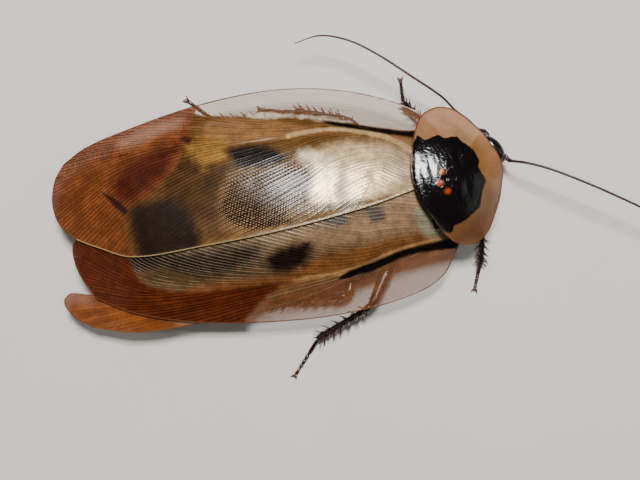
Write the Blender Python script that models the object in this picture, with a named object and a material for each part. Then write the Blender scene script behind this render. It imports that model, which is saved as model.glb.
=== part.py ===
"""Giant cave cockroach (Blaberus giganteus), a still life-size model standing on its six feet.

All sizes are millimetres in the insect's own axes: X towards the head, Y to its left, Z up from
the floor, with zero under the middle of the pronotum's hind margin. Meshes are written in metres,
and an empty carries them all so that the model's box stands centred on the origin.
"""

import math

import bmesh
import bpy
from mathutils import Matrix, Vector

MM = 0.001
GAP = 0.32

# Layers of the folded wings, from the top: thickness of each and the air between them
TEGMEN_THICK = 0.6
HINDWING_THICK = 0.5
WING_AIR = 0.36
VEIN_HEIGHT = 0.2
VEIN_HALF_WIDTH = 0.38
STACK_STEP = TEGMEN_THICK + WING_AIR + VEIN_HEIGHT
HINDWING_STEP = HINDWING_THICK + WING_AIR

# The domed surface that the folded wings share, read along X
RIDGE_HEIGHT = (
    (8, 10.3), (0, 10.9), (-15, 12.2), (-30, 12.2), (-45, 11.1), (-57, 9.4), (-66, 7.2), (-75, 5.6),
)
EDGE_DROP = ((8, 4.3), (0, 5.1), (-15, 6.3), (-30, 6.2), (-45, 5.0), (-60, 2.9), (-75, 1.5))
HALF_WIDTH_LEFT = ((8, 14.5), (-8, 22.3), (-20, 25.6), (-30, 26.5), (-45, 25), (-75, 23))
HALF_WIDTH_RIGHT = ((8, 13), (1, 18.2), (-8, 20.8), (-20, 21.1), (-36, 19), (-50, 18), (-75, 17))
FOLD_LEFT = ((8, 9.8), (-13, 16.3), (-28, 20.5), (-45, 21.3), (-75, 20))
FOLD_RIGHT = ((8, 11.0), (-5, 11.7), (-16, 13.1), (-30, 14.2), (-45, 14.2), (-75, 13.5))
FOLD_DROP_SHARE = 0.78
FOLD_POWER = 2.4
FOLD_FADES_FROM = -30.0
FOLD_FADES_OVER = 20.0

# The left tegmen lies over the right one, which lies lower only near the midline
OVERLAP_EDGE = -2.5
OVERLAP_WIDTH = 6.0
RIGHT_REST_LAYER = 0.3
RIGHT_INNER_EDGE = 5.5

# Wing outlines: base, costal margin, apex and inner margin, each a smooth curve through its points
TEGMEN_LEFT = {
    "base": ((2.5, 0.3), (2.6, 6.0), (3.3, 10.3), (5.6, 14.0)),
    "costal": (
        (5.6, 14.0), (4.4, 15.8), (-0.4, 19.0), (-8.0, 22.4), (-17.6, 24.9), (-28.0, 25.8),
        (-41.0, 25.1), (-53.5, 22.9), (-62.0, 21.0), (-66.6, 18.8),
    ),
    "apex": ((-66.3, 3.2), (-69.2, 6.9), (-70.0, 11.2), (-68.9, 15.7), (-66.6, 18.8)),
    "inner": (
        (2.5, 0.3), (-9.0, -1.8), (-25.0, -3.2), (-42.0, -3.3), (-55.5, -2.6), (-62.5, 0.9), (-66.3, 3.2),
    ),
}
TEGMEN_RIGHT = {
    "base": ((2.5, -0.1), (2.5, -7.4), (3.1, -8.85), (5.0, -8.9), (7.0, -9.9), (7.4, -11.4)),
    "costal": (
        (7.4, -11.4), (5.6, -13.9), (3.3, -16.9), (-1.6, -19.3), (-12.5, -20.8),
        (-26.4, -20.4), (-44.8, -17.4), (-57.0, -13.3), (-64.4, -8.8),
    ),
    "apex": ((-64.8, 4.6), (-67.3, 2.2), (-67.1, -2.9), (-64.4, -8.8)),
    "inner": ((2.5, -0.1), (-9.0, 2.2), (-25.0, 5.2), (-42.0, 6.4), (-56.0, 6.2), (-64.8, 4.6)),
}
HINDWING_LEFT = {
    "base": ((2.5, 1.1), (2.5, 4.0), (2.5, 7.6)),
    "costal": ((2.5, 7.6), (-8.0, 13.2), (-28.0, 19.5), (-45.0, 20.0), (-63.0, 14.4)),
    "apex": ((-63.5, 3.4), (-66.6, 7.2), (-66.2, 11.2), (-63.0, 14.4)),
    "inner": ((2.5, 1.1), (-14.0, 0.8), (-34.0, 0.6), (-52.0, 1.0), (-63.5, 3.4)),
}
HINDWING_RIGHT = {
    "base": ((2.5, -1.2), (2.5, -4.0), (2.5, -7.6)),
    "costal": ((2.5, -7.6), (-8.0, -12.4), (-26.0, -16.6), (-46.0, -17.3), (-57.9, -16.8), (-66.2, -14.2)),
    "apex": ((-71.0, -7.6), (-71.0, -9.1), (-69.3, -11.8), (-66.2, -14.2)),
    "inner": (
        (2.5, -1.2), (-14.0, -0.6), (-34.0, 0.0), (-52.0, -3.0), (-63.5, -8.0), (-69.4, -6.7), (-71.0, -7.6),
    ),
}

# Wing layouts: thickness, where the veins run across it, rows of the grid and the finish
TEGMEN_LAYOUT = (TEGMEN_THICK, (0.14, 0.28, 0.42, 0.56, 0.7, 0.83), 15, "tegmen")
HINDWING_LAYOUT = (HINDWING_THICK, (0.2, 0.4, 0.6, 0.8), 11, "hindwing")

# Pronotum: a broad shield turned a little to the left, with a flat brim. Its outline is read as
# reach from its middle by the angle from straight ahead, in degrees.
PRONOTUM_TURN = math.radians(3.0)
PRONOTUM_SHIFT = 1.0
PRONOTUM_MIDDLE = 8.0
PRONOTUM_REACH = (
    (0, 10.05), (12, 9.95), (25, 9.85), (38, 10.2), (54, 11.05), (63, 11.95), (72, 13.05), (79, 13.65),
    (87, 13.95), (95, 13.65), (102, 13.2), (109, 12.2), (120, 10.7), (132, 9.4), (149, 8.6), (171, 8.05),
    (180, 8.0),
)
PRONOTUM_HALF_WIDTH = 13.95
PRONOTUM_FRONT = 18.05
PRONOTUM_HIND = 0.0
PRONOTUM_CROWN = 12.5
PRONOTUM_CROWN_X = 4.0
PRONOTUM_SIDE_DROP = 3.9
PRONOTUM_FRONT_DROP = 3.6
PRONOTUM_HIND_DROP = 0.5
BRIM_START = 0.72
BRIM_LIFT = 0.4
PRONOTUM_RIM_THICK = 0.6
PRONOTUM_MID_THICK = 1.2
RING_CROWDING = 0.8

# Trunk: flat belly, top pressed up under the wings and the pronotum
TRUNK_POWERS = (0.8, 0.7)
TRUNK_WAIST = 0.45
BELLY_HEIGHT = 3.6
CHEST_HEIGHT = 4.4
ABDOMEN_BELLY = ((-14, 3.6), (-30, 3.2), (-58, 3.0))
THORAX_BACK = -14.2
THORAX_STEP = 3.0
THORAX_FRONT = 12.6
THORAX_HALF_WIDTH = ((13, 3.2), (11, 5.2), (7, 7.4), (3, 8.4), (-5, 9.7), (-15, 9.9))
THORAX_HEIGHT = ((13, 8.2), (10, 10.4), (6, 11.6), (3, 12.5), (-15, 12.5))
THORAX_MIDLINE = ((13, 1.3), (3, 0.0), (-15, 0.0))
NECK_HALF_WIDTH = 1.6
NECK_HALF_HEIGHT = 1.4
NECK_BEND = 1.2
ABDOMEN_FRONT = THORAX_BACK - GAP
ABDOMEN_BACK = -58.2
ABDOMEN_SEGMENTS = 8
ABDOMEN_HALF_WIDTH = ((-14, 9.9), (-26, 11.0), (-38, 11.0), (-48, 9.6), (-54, 8.4), (-58.2, 6.3))
SEGMENT_LIP = 0.35
CERCUS_LENGTH = 4.6
CERCUS_RADIUS = 0.55

# Head: a flat pear that hangs under the pronotum, turned further left, its face down and forward
HEAD_CENTRE = Vector((16.25, 4.95, 4.65))
HEAD_TURN = math.radians(32.0)
HEAD_TILT = math.radians(30.0)
HEAD_TOP = -4.05
HEAD_MOUTH = 2.75
LABRUM_END = 4.05
HEAD_HALF_WIDTH = (
    (-4.05, 1.5), (-3.5, 2.5), (-2.0, 3.4), (0.0, 3.5), (1.6, 2.9), (2.75, 2.1), (4.05, 1.3),
)
HEAD_HALF_DEPTH = (
    (-4.05, 0.8), (-3.5, 1.4), (-2.0, 2.0), (0.0, 2.1), (1.6, 1.8), (2.75, 1.3), (4.05, 0.6),
)
HEAD_BACK = 1.7
EYE_PLACE = Vector((2.75, -1.5, 0.5))
EYE_RADII = Vector((0.95, 1.7, 1.3))
ANTENNA_SOCKET = Vector((1.5, -0.1, 1.85))
ANTENNA_ROOT = 0.55
PALP_SOCKET = Vector((2.3, 2.0, 0.1))
PALP_SEAT = 0.9
PALP_ROOT = 0.42
PALP_POINTS = ((2.3, 2.0, 0.1), (3.2, 2.5, 0.9), (3.6, 3.3, 0.9), (3.3, 4.1, 0.1), (2.6, 4.4, -0.7))

# Antennae: a short scape and a long flagellum in three lengths
ANTENNA_PATHS = {
    "left": (
        (17.2, 9.4, 4.6), (16.5, 9.7, 5.3), (15.5, 10.1, 5.8), (13.9, 12.2, 6.2), (11.9, 14.4, 6.4),
        (9.6, 17.5, 7.2), (5.6, 21.2, 8.3), (-2.0, 28.2, 9.4), (-6.9, 31.9, 9.2), (-12.0, 34.0, 8.4),
        (-17.1, 33.7, 7.4),
    ),
    "right": (
        (20.5, 2.9, 4.6), (21.3, 2.2, 6.2), (22.9, 1.3, 7.8), (26.2, -0.5, 8.8), (30.3, -3.2, 9.6),
        (35.4, -6.7, 9.8), (42.3, -11.6, 9.4), (48.3, -16.4, 8.8), (53.2, -22.0, 7.4),
    ),
}
SCAPE_BOW = 0.8
SCAPE_RADIUS = ((0, 0.3), (0.1, 0.48), (0.25, 0.38), (0.45, 0.48), (0.8, 0.46), (1, 0.36))
FLAGELLUM_LENGTHS = 3
FLAGELLUM_RADIUS = ((0, 0.31), (0.5, 0.27), (0.85, 0.25), (1, 0.16))

# Legs: coxa root, trochanter, knee, ankle and the end of the claws
LEG_POINTS = {
    "fore_left": (
        (11.2, 2.4, 2.3), (8.9, 5.8, 2.2), (6.3, 13.1, 3.7), (2.8, 19.0, 1.15), (3.3, 25.0, 0.42),
    ),
    "fore_right": (
        (11.2, -2.4, 2.3), (8.1, -5.2, 2.2), (12.6, -10.4, 3.9), (11.3, -16.2, 1.15), (9.0, -21.6, 0.42),
    ),
    "mid_left": (
        (2.4, 3.2, 2.3), (-3.4, 8.4, 2.2), (-9.6, 17.6, 3.9), (-19.3, 21.6, 1.15), (-27.2, 23.9, 0.42),
    ),
    "mid_right": (
        (2.4, -3.2, 2.3), (-3.4, -8.4, 2.2), (-12.0, -20.4, 3.9), (-23.6, -24.7, 1.15), (-30.0, -31.5, 0.42),
    ),
    "hind_left": (
        (-5.6, 3.4, 2.3), (-12.0, 8.4, 2.2), (-19.4, 19.6, 3.9), (-35.2, 22.3, 1.15), (-41.3, 29.0, 0.42),
    ),
    "hind_right": (
        (-5.6, -3.4, 2.3), (-12.0, -8.4, 2.2), (-16.2, -17.6, 3.8), (-31.8, -15.5, 1.15),
        (-40.8, -15.0, 0.42),
    ),
}
LEG_SCALE = {"fore": 0.88, "mid": 1.0, "hind": 1.05}
LEG_CORNER = 1.6
LEG_GAP = 0.42
COXA_HALF_WIDTH = ((0, 1.7), (0.35, 2.1), (0.75, 1.4), (1, 0.85))
COXA_HALF_HEIGHT = ((0, 0.95), (0.5, 1.1), (1, 0.8))
FEMUR_HALF_WIDTH = ((0, 0.75), (0.3, 1.35), (0.75, 1.15), (1, 0.75))
FEMUR_HALF_HEIGHT = ((0, 0.75), (0.3, 0.95), (1, 0.75))
TIBIA_RADIUS = ((0, 0.68), (0.15, 0.66), (0.8, 0.74), (1, 0.5))
TARSUS_RADIUS = 0.42
TARSUS_SWELL = 0.09
TARSUS_JOINTS = 5
SOLE_DEPTH = 0.8
SPINE_LENGTH = 1.9
SPINE_RADIUS = 0.27
SPINE_SINK = 0.34
SPINE_LEAN = math.radians(48.0)
SPINES_PER_ROW = {"fore": 3, "mid": 5, "hind": 6}
SPINE_ROWS = (-78.0, 12.0, 78.0)
CLAW_LENGTH = 1.25
CLAW_RADIUS = 0.25
CLAW_TIP = 0.09
CLAW_HOOK = 0.12
CLAW_SPREAD = math.radians(38.0)

# Finishes: base colour, roughness and metallic value
FINISHES = {
    "shield": ((0.38, 0.19, 0.08), 0.22, 0.0),
    "tegmen": ((0.50, 0.30, 0.13), 0.25, 0.0),
    "hindwing": ((0.42, 0.20, 0.07), 0.30, 0.0),
    "trunk": ((0.035, 0.020, 0.013), 0.35, 0.0),
    "head": ((0.010, 0.007, 0.006), 0.18, 0.0),
    "eye": ((0.006, 0.005, 0.006), 0.10, 0.0),
    "antenna": ((0.040, 0.016, 0.009), 0.40, 0.0),
    "leg": ((0.022, 0.010, 0.006), 0.25, 0.0),
}

for old in list(bpy.data.objects):
    bpy.data.objects.remove(old, do_unlink=True)

body_frame = bpy.data.objects.new("body_frame", None)
bpy.context.scene.collection.objects.link(body_frame)


def ease(value):
    """Step smoothly from 0 to 1."""
    value = min(max(value, 0.0), 1.0)
    return value * value * (3.0 - 2.0 * value)


def mix(low, high, share):
    """Blend two values."""
    return low + (high - low) * share


def read_table(table, place):
    """Read a smooth curve through (place, value) pairs, held level past its ends."""
    rows = sorted(table)
    place = min(max(place, rows[0][0]), rows[-1][0])
    last = len(rows) - 2
    index = next((i for i in range(last + 1) if place <= rows[i + 1][0]), last)
    slopes = []
    for end in (index, index + 1):
        before = rows[max(end - 1, 0)]
        after = rows[min(end + 1, last + 1)]
        slopes.append((after[1] - before[1]) / (after[0] - before[0]))
    step = rows[index + 1][0] - rows[index][0]
    t = (place - rows[index][0]) / step
    rise = ease(t)
    bend = t * (1 - t) * step
    return mix(rows[index][1], rows[index + 1][1], rise) + bend * ((1 - t) * slopes[0] - t * slopes[1])


class Track:
    """A curve through a few points, smooth or straight between them, read by share of its length."""

    def __init__(self, points, smooth=True, steps=14):
        knots = [Vector(point) for point in points]
        self.points = knots
        if smooth:
            self.points = [knots[0]]
            for i in range(len(knots) - 1):
                here, there = knots[i], knots[i + 1]
                before = knots[i - 1] if i else knots[0] * 2 - knots[1]
                after = knots[i + 2] if i + 2 < len(knots) else knots[-1] * 2 - knots[-2]
                span = (there - here).length
                leave = (there - before) * (span / (span + (here - before).length))
                reach = (after - here) * (span / (span + (after - there).length))
                for step in range(1, steps + 1):
                    self.points.append(hermite(here, there, leave, reach, step / steps))
        self.lengths = [0.0]
        for a, b in zip(self.points, self.points[1:]):
            self.lengths.append(self.lengths[-1] + (b - a).length)
        self.length = self.lengths[-1]

    def at(self, share):
        """Give the point at a share of the length."""
        target = min(max(share, 0.0), 1.0) * self.length
        last = len(self.lengths) - 2
        index = next((i for i in range(last) if target <= self.lengths[i + 1]), last)
        step = self.lengths[index + 1] - self.lengths[index]
        return self.points[index].lerp(self.points[index + 1], (target - self.lengths[index]) / step)

    def heading(self, share):
        """Give the direction of travel at a share of the length."""
        reach = 0.12 / self.length
        return (self.at(share + reach) - self.at(share - reach)).normalized()


def hermite(start, end, leave, reach, t):
    """Blend a point between two knots with their tangents."""
    t2 = t * t
    t3 = t2 * t
    place = start * (2 * t3 - 3 * t2 + 1) + end * (3 * t2 - 2 * t3)
    return place + leave * (t3 - 2 * t2 + t) + reach * (t3 - t2)


def rounded_points(corners, radius, steps=6):
    """Give a polyline whose inner corners are rounded off."""
    points = [Vector(corners[0])]
    for before, corner, after in zip(corners, corners[1:], corners[2:]):
        corner = Vector(corner)
        back = Vector(before) - corner
        onward = Vector(after) - corner
        reach = min(radius, 0.45 * back.length, 0.45 * onward.length)
        start = corner + back.normalized() * reach
        end = corner + onward.normalized() * reach
        for step in range(steps + 1):
            t = step / steps
            points.append(start.lerp(corner, t).lerp(corner.lerp(end, t), t))
    points.append(Vector(corners[-1]))
    return points


def add_piece(name, vertices, faces, finish, origin=(0, 0, 0)):
    """Make a named, closed and smooth-shaded mesh object from points in millimetres."""
    origin = Vector(origin)
    work = bmesh.new()
    corners = [work.verts.new((Vector(vertex) - origin) * MM) for vertex in vertices]
    for face in faces:
        work.faces.new([corners[i] for i in face])
    bmesh.ops.recalc_face_normals(work, faces=work.faces[:])
    mesh = bpy.data.meshes.new(name)
    work.to_mesh(mesh)
    work.free()
    mesh.shade_smooth()
    mesh.set_sharp_from_angle(angle=math.radians(40))
    piece = bpy.data.objects.new(name, mesh)
    piece.location = origin * MM
    piece.parent = body_frame
    bpy.context.scene.collection.objects.link(piece)
    if finish:
        mesh.materials.append(make_material(name, finish))
    return piece


def make_material(name, finish):
    """Give a piece its own plain surface."""
    colour, roughness, metallic = FINISHES[finish]
    material = bpy.data.materials.new(name + "_" + finish)
    material.use_nodes = True
    shader = material.node_tree.nodes["Principled BSDF"]
    shader.inputs["Base Color"].default_value = (*colour, 1.0)
    shader.inputs["Roughness"].default_value = roughness
    shader.inputs["Metallic"].default_value = metallic
    return material


def loft(rings, tip_at_start=False, tip_at_end=False):
    """Join equal rings of points into a closed skin, with flat ends or pointed ones."""
    vertices = [point for ring in rings for point in ring]
    count = len(rings[0])
    faces = []
    for row in range(len(rings) - 1):
        for i in range(count):
            a = row * count + i
            b = row * count + (i + 1) % count
            faces.append((a, b, b + count))
            faces.append((a, b + count, a + count))
    for pointed, row in ((tip_at_start, 0), (tip_at_end, len(rings) - 1)):
        ring = list(range(row * count, row * count + count))
        if not pointed:
            faces.append(ring)
            continue
        beyond = rings[row]
        inward = rings[1] if row == 0 else rings[row - 1]
        middle = sum((Vector(p) for p in beyond), Vector()) / count
        behind = sum((Vector(p) for p in inward), Vector()) / count
        spread = (Vector(beyond[0]) - middle).length
        vertices.append(middle + (middle - behind).normalized() * spread)
        faces.extend((ring[i], ring[(i + 1) % count], len(vertices) - 1) for i in range(count))
    return vertices, faces


def ring_across(centre, heading, half_width, half_height, sides, turn=0.5):
    """Give an ellipse of points square to a heading, its width level with the floor."""
    aside = Vector((0, 0, 1)).cross(heading).normalized()
    above = heading.cross(aside)
    ring = []
    for i in range(sides):
        angle = 2 * math.pi * (i + turn) / sides
        across, up = half_width * math.cos(angle), half_height * math.sin(angle)
        ring.append(centre + aside * across + above * up)
    return ring


def apply_boolean(piece, tools, operation):
    """Join or cut a piece with closed tool objects in one Boolean, then drop the tools."""
    group = bpy.data.collections.new(piece.name + "_tools")
    bpy.context.scene.collection.children.link(group)
    for tool in tools:
        tool.hide_render = True
        tool.display_type = "WIRE"
        bpy.context.scene.collection.objects.unlink(tool)
        group.objects.link(tool)
    boolean = piece.modifiers.new(operation.lower(), "BOOLEAN")
    boolean.operation = operation
    boolean.solver = "EXACT"
    boolean.operand_type = "COLLECTION"
    boolean.collection = group
    bpy.context.view_layer.update()
    graph = bpy.context.evaluated_depsgraph_get()
    result = bpy.data.meshes.new_from_object(piece.evaluated_get(graph))
    piece.modifiers.clear()
    piece.data = result
    for tool in tools:
        bpy.data.objects.remove(tool, do_unlink=True)
    bpy.data.collections.remove(group)
    keep_largest(piece)


def keep_largest(piece):
    """Keep only the closed surface that encloses the most."""
    work = bmesh.new()
    work.from_mesh(piece.data)
    bmesh.ops.triangulate(work, faces=work.faces[:])
    unseen = set(work.faces)
    shells = []
    while unseen:
        shell = set()
        front = [unseen.pop()]
        while front:
            face = front.pop()
            shell.add(face)
            for edge in face.edges:
                for other in edge.link_faces:
                    if other in unseen:
                        unseen.remove(other)
                        front.append(other)
        shells.append(shell)
    shells.sort(key=shell_volume)
    for shell in shells[:-1]:
        bmesh.ops.delete(work, geom=list(shell), context="FACES")
    loose = [vertex for vertex in work.verts if not vertex.link_faces]
    bmesh.ops.delete(work, geom=loose, context="VERTS")
    work.to_mesh(piece.data)
    work.free()


def shell_volume(shell):
    """Add up the volume that a set of triangles encloses."""
    total = 0.0
    for face in shell:
        a, b, c = (vertex.co for vertex in face.verts)
        total += a.dot(b.cross(c)) / 6.0
    return abs(total)


def ball(name, centre, radii, sides=12, rows=8, turn=None, finish=None):
    """Make an ellipsoid from rings, turned by a matrix."""
    rings = []
    for row in range(1, rows):
        polar = math.pi * row / rows
        ring = []
        for i in range(sides):
            angle = 2 * math.pi * i / sides
            across, along = radii[0] * math.cos(angle), radii[1] * math.sin(angle)
            spot = Vector((across * math.sin(polar), along * math.sin(polar), radii[2] * math.cos(polar)))
            ring.append(centre + (turn @ spot if turn else spot))
        rings.append(ring)
    vertices, faces = loft(rings)
    faces = [face for face in faces if len(face) == 3]
    for sign, row in ((1, 0), (-1, rows - 2)):
        pole = Vector((0, 0, sign * radii[2]))
        vertices.append(centre + (turn @ pole if turn else pole))
        first = row * sides
        faces.extend((first + i, first + (i + 1) % sides, len(vertices) - 1) for i in range(sides))
    return add_piece(name, vertices, faces, finish, centre)


def dome(x, y):
    """Give the height of the left tegmen's upper face, or where it would be."""
    left = y > 0
    half_width = read_table(HALF_WIDTH_LEFT if left else HALF_WIDTH_RIGHT, x)
    fold = read_table(FOLD_LEFT if left else FOLD_RIGHT, x) / half_width
    reach = abs(y) / half_width
    if reach < fold:
        folded = FOLD_DROP_SHARE * (reach / fold) ** FOLD_POWER
    else:
        folded = FOLD_DROP_SHARE + (1 - FOLD_DROP_SHARE) * (reach - fold) / (1 - fold)
    plain = reach * reach
    share = mix(folded, plain, ease((FOLD_FADES_FROM - x) / FOLD_FADES_OVER))
    return read_table(RIDGE_HEIGHT, x) - read_table(EDGE_DROP, x) * share


def right_tegmen_drop(x, y):
    """Give how far the right tegmen lies under the dome."""
    return mix(STACK_STEP, RIGHT_REST_LAYER, ease((OVERLAP_EDGE - y) / OVERLAP_WIDTH))


def hindwing_drop(x, y):
    """Give how far the hind wings lie under the dome, below whichever tegmina cover them."""
    if y < RIGHT_INNER_EDGE:
        return right_tegmen_drop(x, y) + STACK_STEP
    return mix(2 * STACK_STEP, STACK_STEP, ease((y - RIGHT_INNER_EDGE - 2.0) / OVERLAP_WIDTH))


def wing_ceiling(x, y):
    """Give the height that the trunk stays under."""
    return dome(x, y) - hindwing_drop(x, y) - HINDWING_STEP


def wing_lines(veins, width):
    """Give the shares across a wing that its grid needs, and which of them are vein crests."""
    edge = VEIN_HALF_WIDTH / width
    lines = {0.0: False, 1.0: False}
    for share in veins:
        lines[share - edge] = False
        lines[share] = True
        lines[share + edge] = False
    ordered = sorted(lines)
    for low, high in zip(ordered, ordered[1:]):
        if high - low > 2 * edge:
            lines[mix(low, high, 0.5)] = False
    return sorted(lines.items())


def make_wing(name, outline, drop, layout):
    """Make one folded wing as a closed domed sheet with raised veins."""
    thick, veins, rows, finish = layout
    tracks = {side: Track([(*point, 0.0) for point in points]) for side, points in outline.items()}
    corners = [tracks["base"].at(0), tracks["base"].at(1), tracks["apex"].at(0), tracks["apex"].at(1)]
    width = (tracks["costal"].at(0.5) - tracks["inner"].at(0.5)).length
    lines = wing_lines(veins, width)
    upper = []
    for row in range(rows + 1):
        u = row / rows
        for v, crest in lines:
            spot = tracks["base"].at(v) * (1 - u) + tracks["apex"].at(v) * u
            spot += tracks["inner"].at(u) * (1 - v) + tracks["costal"].at(u) * v
            spot -= (corners[0] * (1 - v) + corners[1] * v) * (1 - u)
            spot -= (corners[2] * (1 - v) + corners[3] * v) * u
            spot.z = dome(spot.x, spot.y) - drop(spot.x, spot.y)
            if crest and 0 < row < rows:
                spot.z += VEIN_HEIGHT
            upper.append((spot, crest and 0 < row < rows))
    columns = len(lines)
    count = len(upper)
    vertices = [spot for spot, crest in upper]
    for spot, crest in upper:
        vertices.append(spot - Vector((0, 0, thick + (VEIN_HEIGHT if crest else 0))))
    faces = []
    for row in range(rows):
        for column in range(columns - 1):
            a = row * columns + column
            b, c, d = a + 1, a + columns + 1, a + columns
            faces += [(a, b, c), (a, c, d)]
            faces += [(a + count, c + count, b + count), (a + count, d + count, c + count)]
    rim = [column for column in range(columns)]
    rim += [row * columns + columns - 1 for row in range(1, rows + 1)]
    rim += [rows * columns + column for column in range(columns - 2, -1, -1)]
    rim += [row * columns for row in range(rows - 1, 0, -1)]
    for a, b in zip(rim, rim[1:] + rim[:1]):
        faces += [(b, a, a + count), (b, a + count, b + count)]
    return add_piece(name, vertices, faces, finish, tracks["base"].at(0.5))


def pronotum_edge(angle):
    """Give a rim point of the pronotum in its own axes, from its front round by the left."""
    reach = read_table(PRONOTUM_REACH, 180 - abs(180 - math.degrees(angle)))
    return PRONOTUM_MIDDLE + reach * math.cos(angle), reach * math.sin(angle)


def turn_to_body(x, y):
    """Turn a point of the pronotum's own axes into the body's."""
    c, s = math.cos(PRONOTUM_TURN), math.sin(PRONOTUM_TURN)
    y += PRONOTUM_SHIFT
    return x * c - y * s, x * s + y * c


def pronotum_top(own_x, own_y):
    """Give the height of the pronotum's upper face before its brim."""
    height = PRONOTUM_CROWN - PRONOTUM_SIDE_DROP * (own_y / PRONOTUM_HALF_WIDTH) ** 2
    if own_x > PRONOTUM_CROWN_X:
        span = PRONOTUM_FRONT - PRONOTUM_CROWN_X
        return height - PRONOTUM_FRONT_DROP * ((own_x - PRONOTUM_CROWN_X) / span) ** 2
    span = PRONOTUM_CROWN_X - PRONOTUM_HIND
    return height - PRONOTUM_HIND_DROP * ((PRONOTUM_CROWN_X - own_x) / span) ** 2


def make_pronotum(spokes=32, rings=5):
    """Make the shield as rings about its middle, thin at the rim."""
    upper, lower = [], []
    for row in range(1, rings + 1):
        reach = (row / rings) ** RING_CROWDING
        top_ring, low_ring = [], []
        for i in range(spokes):
            rim = pronotum_edge(2 * math.pi * (i + 0.5) / spokes)
            own_x = mix(PRONOTUM_MIDDLE, rim[0], reach)
            own_y = rim[1] * reach
            brim = max(0.0, (reach - BRIM_START) / (1 - BRIM_START))
            top = pronotum_top(own_x, own_y) + BRIM_LIFT * brim ** 2
            x, y = turn_to_body(own_x, own_y)
            top_ring.append(Vector((x, y, top)))
            low_ring.append(Vector((x, y, top - mix(PRONOTUM_MID_THICK, PRONOTUM_RIM_THICK, ease(reach)))))
        upper.append(top_ring)
        lower.append(low_ring)
    vertices, faces = loft(upper + lower[::-1])
    faces = [face for face in faces if len(face) == 3]
    x, y = turn_to_body(PRONOTUM_MIDDLE, 0)
    top = pronotum_top(PRONOTUM_MIDDLE, 0)
    vertices += [Vector((x, y, top)), Vector((x, y, top - PRONOTUM_MID_THICK))]
    last = (2 * rings - 1) * spokes
    for i in range(spokes):
        faces.append((i, (i + 1) % spokes, len(vertices) - 2))
        faces.append((last + i, last + (i + 1) % spokes, len(vertices) - 1))
    return add_piece("pronotum", vertices, faces, "shield", (x, y, top))


def under_pronotum(x, y):
    """Give the height that the thorax stays under, below the pronotum."""
    c, s = math.cos(PRONOTUM_TURN), math.sin(PRONOTUM_TURN)
    own_x, own_y = x * c + y * s, -x * s + y * c - PRONOTUM_SHIFT
    return pronotum_top(own_x, own_y) - PRONOTUM_MID_THICK - GAP


def trunk_ring(x, half_width, top, bottom, ceiling, sides=20):
    """Give one upright section of the trunk, its top held under a ceiling."""
    ring = []
    for i in range(sides):
        angle = 2 * math.pi * (i + 0.5) / sides
        across = math.copysign(abs(math.cos(angle)) ** TRUNK_POWERS[0], math.cos(angle))
        y = read_table(THORAX_MIDLINE, x) + half_width * across
        share = math.copysign(abs(math.sin(angle)) ** TRUNK_POWERS[1], math.sin(angle))
        middle = mix(bottom, top, TRUNK_WAIST)
        z = middle + share * ((top - middle) if share > 0 else (middle - bottom))
        ring.append(Vector((x, y, max(min(z, ceiling(x, y)), bottom))))
    return ring


def make_thorax():
    """Make the thorax, with a step behind which the wings grow."""
    rings = []
    behind = [THORAX_BACK, -11.0, -7.5, -4.0, -0.5, THORAX_STEP - 0.1]
    ahead = [THORAX_STEP + 0.2, 5.5, 8.0, 10.3, 11.8, THORAX_FRONT]
    for x in behind + ahead:
        ceiling = wing_ceiling if x < THORAX_STEP else under_pronotum
        top = read_table(THORAX_HEIGHT, x)
        bottom = mix(BELLY_HEIGHT, CHEST_HEIGHT, ease((x - 10.5) / 2.0))
        rings.append(trunk_ring(x, read_table(THORAX_HALF_WIDTH, x), top, bottom, ceiling))
    vertices, faces = loft(rings)
    return add_piece("thorax", vertices, faces, "trunk", (THORAX_STEP, 0, BELLY_HEIGHT))


def make_abdomen():
    """Make the abdomen as overlapping bands, with seats for the cerci."""
    rings = []
    band = (ABDOMEN_FRONT - ABDOMEN_BACK) / ABDOMEN_SEGMENTS
    for segment in range(ABDOMEN_SEGMENTS):
        for share, lip in ((0.0, SEGMENT_LIP), (0.35, SEGMENT_LIP * 0.3), (0.97, 0.0)):
            x = ABDOMEN_FRONT - band * (segment + share)
            half_width = read_table(ABDOMEN_HALF_WIDTH, x) - lip
            bottom = read_table(ABDOMEN_BELLY, x) + lip * 0.6
            ceiling = lambda a, b, cut=lip: wing_ceiling(a, b) - cut
            rings.append(trunk_ring(x, half_width, ceiling(x, 0), bottom, ceiling))
    end = read_table(ABDOMEN_HALF_WIDTH, ABDOMEN_BACK)
    for shift, shrink in ((0.0, 0.95), (-0.7, 0.6)):
        top = wing_ceiling(ABDOMEN_BACK, 0) - (1 - shrink)
        bottom = read_table(ABDOMEN_BELLY, ABDOMEN_BACK) + 0.5 * (1 - shrink)
        rings.append(trunk_ring(ABDOMEN_BACK + shift, end * shrink, top, bottom, wing_ceiling))
    vertices, faces = loft(rings)
    abdomen = add_piece("abdomen", vertices, faces, "trunk", (ABDOMEN_FRONT, 0, BELLY_HEIGHT))
    roots = {side: cercus_root(sign) for side, sign in (("left", 1), ("right", -1))}
    seats = [ball("seat_" + side, root, [CERCUS_RADIUS + GAP] * 3, 8, 6) for side, root in roots.items()]
    apply_boolean(abdomen, seats, "DIFFERENCE")
    for side, sign in (("left", 1), ("right", -1)):
        make_cercus("cercus_" + side, roots[side], sign)


def cercus_root(sign):
    """Give the middle of a cercus's root."""
    x = ABDOMEN_BACK + 2.2
    return Vector((x, sign * (read_table(ABDOMEN_HALF_WIDTH, x) - 0.15), 4.5))


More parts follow.
